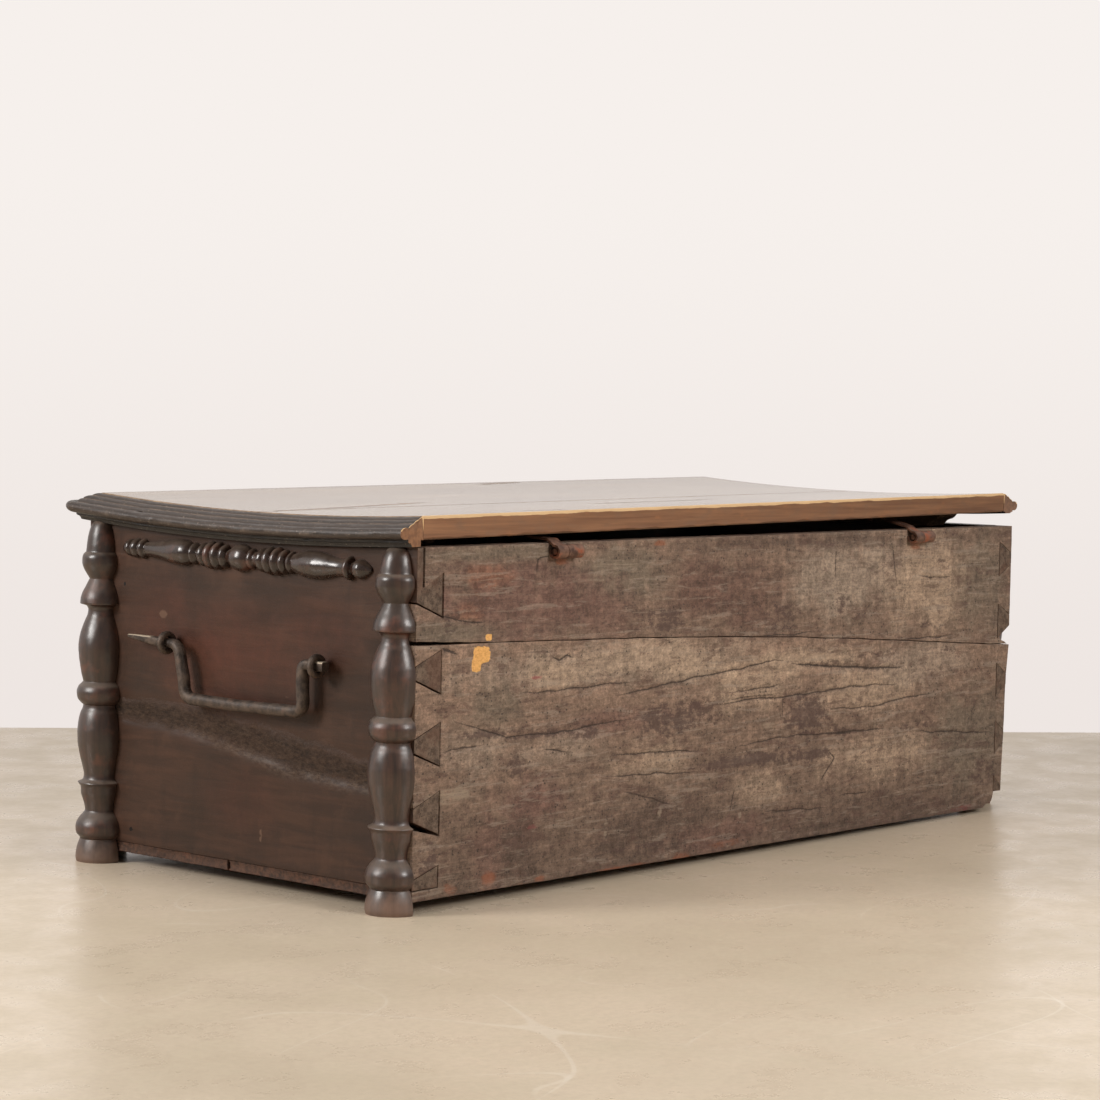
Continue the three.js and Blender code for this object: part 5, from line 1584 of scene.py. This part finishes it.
def make_bails():
    (y0, z0), (y1, z1) = FRONT_EYE, BACK_EYE
    slope = (z1 - z0) / (y1 - y0)

    def level(y):
        return z0 + slope * (y - y0)

    foot = (z0 + z1) / 2 - BAIL_DROP
    for end, side in SIDE.items():
        x = side * (HALF_LENGTH + EYE_STANDOFF)
        line = rounded([
            (x, y0 - 74, level(y0 - 74) + 2, 2.0, 2.2, 0.9),
            (x, y0 - 60, level(y0 - 60) + 1.5, 3.4, 3.2, 0.9),
            (x, y0 - 30, level(y0 - 30) + 0.5, 5.4, 5.0, 0.8),
            (x, y0 - 13, level(y0 - 13), 6.2, 5.6, 0.6),
            (x, y0 - 4, level(y0 - 4), 5.9, 5.7, 0.2),
            (x, y0 + 8, level(y0 + 8), 6.2, 6.0, 0.0),
            (x, y0 + 23, level(y0 + 23) - 1, 7.6, 7.6, 0.0),
            (x, y0 + 33, foot + 28, 8.6, 7.8, 0.0),
            (x, y0 + 37, foot, 8.0, 7.6, 0.1),
            (x, (y0 + y1) / 2, foot - 1.5, 7.6, 7.4, 0.1),
            (x, y1 - 22, foot, 8.0, 7.8, 0.1),
            (x, y1 - 24, foot + 32, 8.8, 8.0, 0.0),
            (x, y1 - 24, level(y1 - 24), 7.6, 7.6, 0.3),
            (x, y1 - 8, level(y1 - 8), 6.0, 5.9, 0.6),
            (x, y1 + 5, level(y1 + 5), 6.2, 5.9, 1.0),
            (x, y1 + 15, level(y1 + 15) + 0.5, 6.0, 5.8, 1.0),
        ], {6: 11, 8: 15, 10: 15, 12: 9})
        part = bar(line, (side, 0, 0), around=20, seed=4)

        # Wear at the bail's tips and stub; the iron's finish lightens their upward faces, partly rubbed metal
        # and partly painted highlight
        def marks(points):
            tip = np.clip((y0 - 14 - points[:, 1]) / 30, 0, 1)
            stub = np.clip((points[:, 1] - y1 + 12) / 8, 0, 1)
            return {"wear": np.maximum(tip, stub)}

        make_piece(f"bail_{end}", [part], looks["iron"], f"bail_{end}", marks=marks, smooth=50)
        for row, (y, z) in (("front", FRONT_EYE), ("back", BACK_EYE)):
            make_piece(
                f"bail_{end}_eye_{row}", eye_parts(side, y, z, END_THICK[end]),
                looks["iron"], "carcass", marks=no_wear, smooth=50,
            )


def eye_parts(side, y, z, thick):
    """A bar bent into a loop, with both its ends driven through the end board and bent over"""
    x = side * (HALF_LENGTH + EYE_STANDOFF)
    inner = side * (HALF_LENGTH - thick)
    loop = []
    for i in range(33):
        angle = math.radians(205 - 410 * i / 32)
        out, up = EYE_RADIUS * math.cos(angle), EYE_RADIUS * math.sin(angle)
        loop.append((x + side * out, y, z + up, 4.3, 4.3, 0.2))
    root = side * (HALF_LENGTH + 2.5)
    stem = rounded([
        (root + side * 3, y, z, 3.8, 4.0, 0.6),
        (inner - side * 3.6, y, z, 3.4, 3.8, 0.8),
        (inner - side * 3.6, y, z - 37, 2.2, 3.4, 0.8),
    ], {1: 5})
    return [bar(loop, (0, 1, 0), around=14, seed=6), bar(stem, (0, 1, 0), around=12, seed=7)]


# Hinges
HINGE_X = {"right": 410, "left": -410}
BARREL_RADIUS = 9
HINGE_Y = HALF_DEPTH + BARREL_RADIUS + FIT
HINGE_Z = BODY_TOP - 11
STRAP = 3

# The pin's own line: places along x with their radius, which thickens at its ends
PIN_LINE = ((-23.9, 3.0), (-23.8, 4.6), (-22.4, 4.6), (-22.2, 4.0), (27, 4.0), (27.2, 3.0))

# The strap under the lid follows its cup through points this far in from the back
LID_STRAP_STEPS = (50, 95, 140, 170, 200)


def strap_loop(x0, x1, line, turn_from, turn_to, seed):
    """A strap rolled round the hinge pin and run on along [y, z] points"""
    radius = BARREL_RADIUS - STRAP / 2
    path = []
    for i in range(25):
        angle = math.radians(turn_from + (turn_to - turn_from) * i / 24)
        path.append((HINGE_Y + radius * math.cos(angle), HINGE_Z + radius * math.sin(angle)))
    path += line
    path = np.array(path)
    along_path = np.gradient(path, axis=0)
    along_path /= np.linalg.norm(along_path, axis=1)[:, None]
    across = np.column_stack([-along_path[:, 1], along_path[:, 0]])
    rings = []
    for i, ((y, z), (ny, nz)) in enumerate(zip(path, across)):
        half = STRAP / 2
        ring = []
        for sx, sn in ((0, -1), (0, 1), (1, 1), (1, -1)):
            x = x0 + (x1 - x0) * sx
            x += (1 - 2 * sx) * 0.7 * noise.noise(Vector((i * 0.35, seed * 3.3, sx)))
            ring.append((x, y + ny * sn * half, z + nz * sn * half))
        rings.append(ring)
    return loft(rings)


def make_hinges():
    radius = BARREL_RADIUS - STRAP / 2
    tang = HINGE_Z - radius
    leg = INNER_Y - FIT - STRAP / 2
    back_line = [(HINGE_Y - 6, tang), (HALF_DEPTH - 4, tang), (leg + 2, tang)]
    back_line += [(leg, tang - 2), (leg, tang - 82)]
    for end, x in HINGE_X.items():

        def under(y, x=x):
            return lid_rise(x, y) - FIT - STRAP / 2 - 0.1

        lid_line = [(HALF_DEPTH - back, under(HALF_DEPTH - back)) for back in LID_STRAP_STEPS]
        lid_line.insert(0, (HALF_DEPTH - 3, BODY_TOP + 4))
        lid_part = strap_loop(x + 8.5, x + 28, lid_line, -190, 100, 2)
        back_part = strap_loop(x - 22, x + 7.5, back_line, 190, -90, 4)
        pin = bar([(x + at, HINGE_Y, HINGE_Z, size, size, 0.0) for at, size in PIN_LINE], (0, 1, 0), 14, 3)
        for name, part, body in (
            ("lid_strap", lid_part, "lid"), ("back_strap", back_part, "carcass"), ("pin", pin, "carcass"),
        ):
            make_piece(
                f"hinge_{end}_{name}", [part], looks["rust"], body,
                marks=barrel_wear_and_glint, smooth=50,
            )


# Wear on the top of each hinge barrel; the iron's finish lightens it where it faces upwards, as a painted
# glint and rubbed metal
def barrel_wear_and_glint(points):
    near = np.hypot(points[:, 1] - HINGE_Y, points[:, 2] - HINGE_Z) < BARREL_RADIUS + 2
    up = np.clip((points[:, 2] - HINGE_Z - 2) / 8, 0, 1)
    return {"wear": near * up * 0.3}


# Frame pieces whose own shape is right, which take a finish
def dress_frame_nodes():
    for name, node in frame["nodes"].items():
        look = looks["rust"] if name.startswith("hinge") else looks["iron"]
        node.data.materials.clear()
        node.data.materials.append(look)


# Camera: its place in metres, its turn in radians and its lens in pixels of a square picture
CAMERA_PLACE = Vector((3.1349, 2.6100, 0.6173))
CAMERA_YAW = math.radians(130.45)
CAMERA_PITCH = 0.051
CAMERA_ROLL = 0.020
PICTURE_PIXELS = 1100
FOCAL_PIXELS = 2807.05
SENSOR = 36


def make_camera():
    yaw, pitch, roll = CAMERA_YAW, CAMERA_PITCH, CAMERA_ROLL
    ahead = Vector((-math.sin(yaw) * math.cos(pitch), math.cos(yaw) * math.cos(pitch), -math.sin(pitch)))
    right = ahead.cross(Vector((0, 0, 1))).normalized()
    up = right.cross(ahead)
    right, up = (
        right * math.cos(roll) + up * math.sin(roll),
        up * math.cos(roll) - right * math.sin(roll),
    )
    data = bpy.data.cameras.new("camera")
    data.sensor_width = SENSOR
    data.lens = FOCAL_PIXELS / PICTURE_PIXELS * SENSOR
    data.clip_end = 100
    camera = bpy.data.objects.new("camera", data)
    camera.matrix_world = Matrix((
        (right.x, up.x, -ahead.x, CAMERA_PLACE.x),
        (right.y, up.y, -ahead.y, CAMERA_PLACE.y),
        (right.z, up.z, -ahead.z, CAMERA_PLACE.z),
        (0, 0, 0, 1),
    ))
    bpy.context.scene.collection.objects.link(camera)
    bpy.context.scene.camera = camera


def floor_look():
    """Worn greenish-beige floor with faint, long, curved scratches"""
    n = Nodes("floor")
    cloud = n.noise((500, 500, 500), detail=5, roughness=0.6)
    stain = n.noise((90, 90, 90), detail=6, roughness=0.7)
    grain = n.noise((9, 9, 9), detail=4, roughness=0.7)
    colour = n.mix(n.span(cloud, 0.35, 0.65), srgb(214, 198, 174), srgb(228, 211, 188))
    colour = n.layers(
        colour,
        (stain, 0.4, 0.66, 0.35, srgb(194, 181, 156)),
        (grain, 0.4, 0.64, 0.25, srgb(190, 174, 152)),
    )
    for sweep in ((300, 620, 300), (700, 260, 260)):
        away = abs(n.noise(sweep, detail=0) - 0.53)
        faint = n.both(n.span(away, 0.003, 0.001), n.span(cloud, 0.46, 0.56))
        colour = n.mix(faint * 0.3, colour, srgb(244, 234, 218))
    return n.finish(colour, n.span(stain, 0.35, 0.65, 0.26, 0.4))


# The wall's glow at its top, and its painted shade at the floor
WALL_COLOUR = srgb(246, 240, 236)
WALL_SHADED_FOOT = srgb(238, 230, 226)


def wall_look():
    """The pale wall, which glows: seen directly and in reflections, without lighting rough surfaces, darker
    towards the floor as painted shade
    """
    n = Nodes("wall")
    light = n.add("Emission")
    # Painted shade: the wall's glow darkens towards the floor
    n.put(n.mix(n.span(n.axes()[2], 0.0, 1.1), WALL_SHADED_FOOT, WALL_COLOUR), light.inputs["Color"])
    ray = n.add("LightPath").outputs
    seen = n.most(n.most(ray["Is Camera Ray"], ray["Is Glossy Ray"]), ray["Is Transmission Ray"])
    front = 1.0 - Value(n, n.add("NewGeometry").outputs["Backfacing"])
    choice = n.fill(n.add("MixShader"), {
        0: seen * front,
        1: n.add("BsdfTransparent").outputs[0],
        2: light.outputs[0],
    })
    n.put(choice, n.surface)
    return n.material


def flat_piece(name, corners, look):
    mesh = bpy.data.meshes.new(name)
    mesh.from_pydata([tuple(c) for c in corners], [], [(0, 1, 2, 3)])
    mesh.materials.append(look)
    piece = bpy.data.objects.new(name, mesh)
    bpy.context.scene.collection.objects.link(piece)


# Stage, in metres: half the floor's width, how far the wall runs on to both sides, and its height.
# The wall's foot is given by two points of the line where it meets the floor.
FLOOR_HALF = 9
WALL_RUN = 14
WALL_HEIGHT = 8
WALL_FOOT = (Vector((-1.739, -0.128, 0)), Vector((-0.161, -1.544, 0)))


def make_stage():
    corners = [(-1, -1, 0), (1, -1, 0), (1, 1, 0), (-1, 1, 0)]
    flat_piece("floor", [Vector(corner) * FLOOR_HALF for corner in corners], floor_look())
    first, second = WALL_FOOT
    run = (second - first).normalized() * WALL_RUN
    high = Vector((0, 0, WALL_HEIGHT))
    left, right = first - run, second + run
    flat_piece("wall", [right, left, left + high, right + high], wall_look())


WORLD_LIGHT = 0.27


def make_world():
    scene_world = bpy.data.worlds.new("world")
    scene_world.use_nodes = True
    sky = scene_world.node_tree.nodes["Background"]
    sky.inputs["Color"].default_value = srgb(246, 242, 238)
    sky.inputs["Strength"].default_value = WORLD_LIGHT
    bpy.context.scene.world = scene_world


LAMP_AIM = Vector((0, 0, 0.25))
LAMP_COLOUR = (1.0, 0.97, 0.94)


def make_lamp(name, place, size, power):
    data = bpy.data.lights.new(name, "AREA")
    data.shape = "RECTANGLE"
    data.size, data.size_y = size
    data.energy = power
    data.color = LAMP_COLOUR
    lamp = bpy.data.objects.new(name, data)
    lamp.location = place
    lamp.rotation_euler = (LAMP_AIM - Vector(place)).to_track_quat("-Z", "Y").to_euler()
    bpy.context.scene.collection.objects.link(lamp)


def make_lights():
    make_lamp("lamp_left", (3.2, -1.3, 1.75), (1.0, 1.3), 79)
    make_lamp("lamp_right", (0.35, 3.6, 2.1), (1.1, 1.4), 79)
    make_lamp("lamp_above", (0.3, 0.4, 3.4), (2.6, 2.6), 31)


make_back_boards()
make_front_board()
for side_name in SIDE:
    make_end_board(side_name)
make_bottom_boards()
make_balusters()
make_spindles()
make_lid_boards()
make_mouldings()
make_battens()
make_bails()
make_hinges()
dress_frame_nodes()
make_camera()
make_stage()
make_world()
make_lights()
bpy.context.scene.view_settings.view_transform = "Standard"
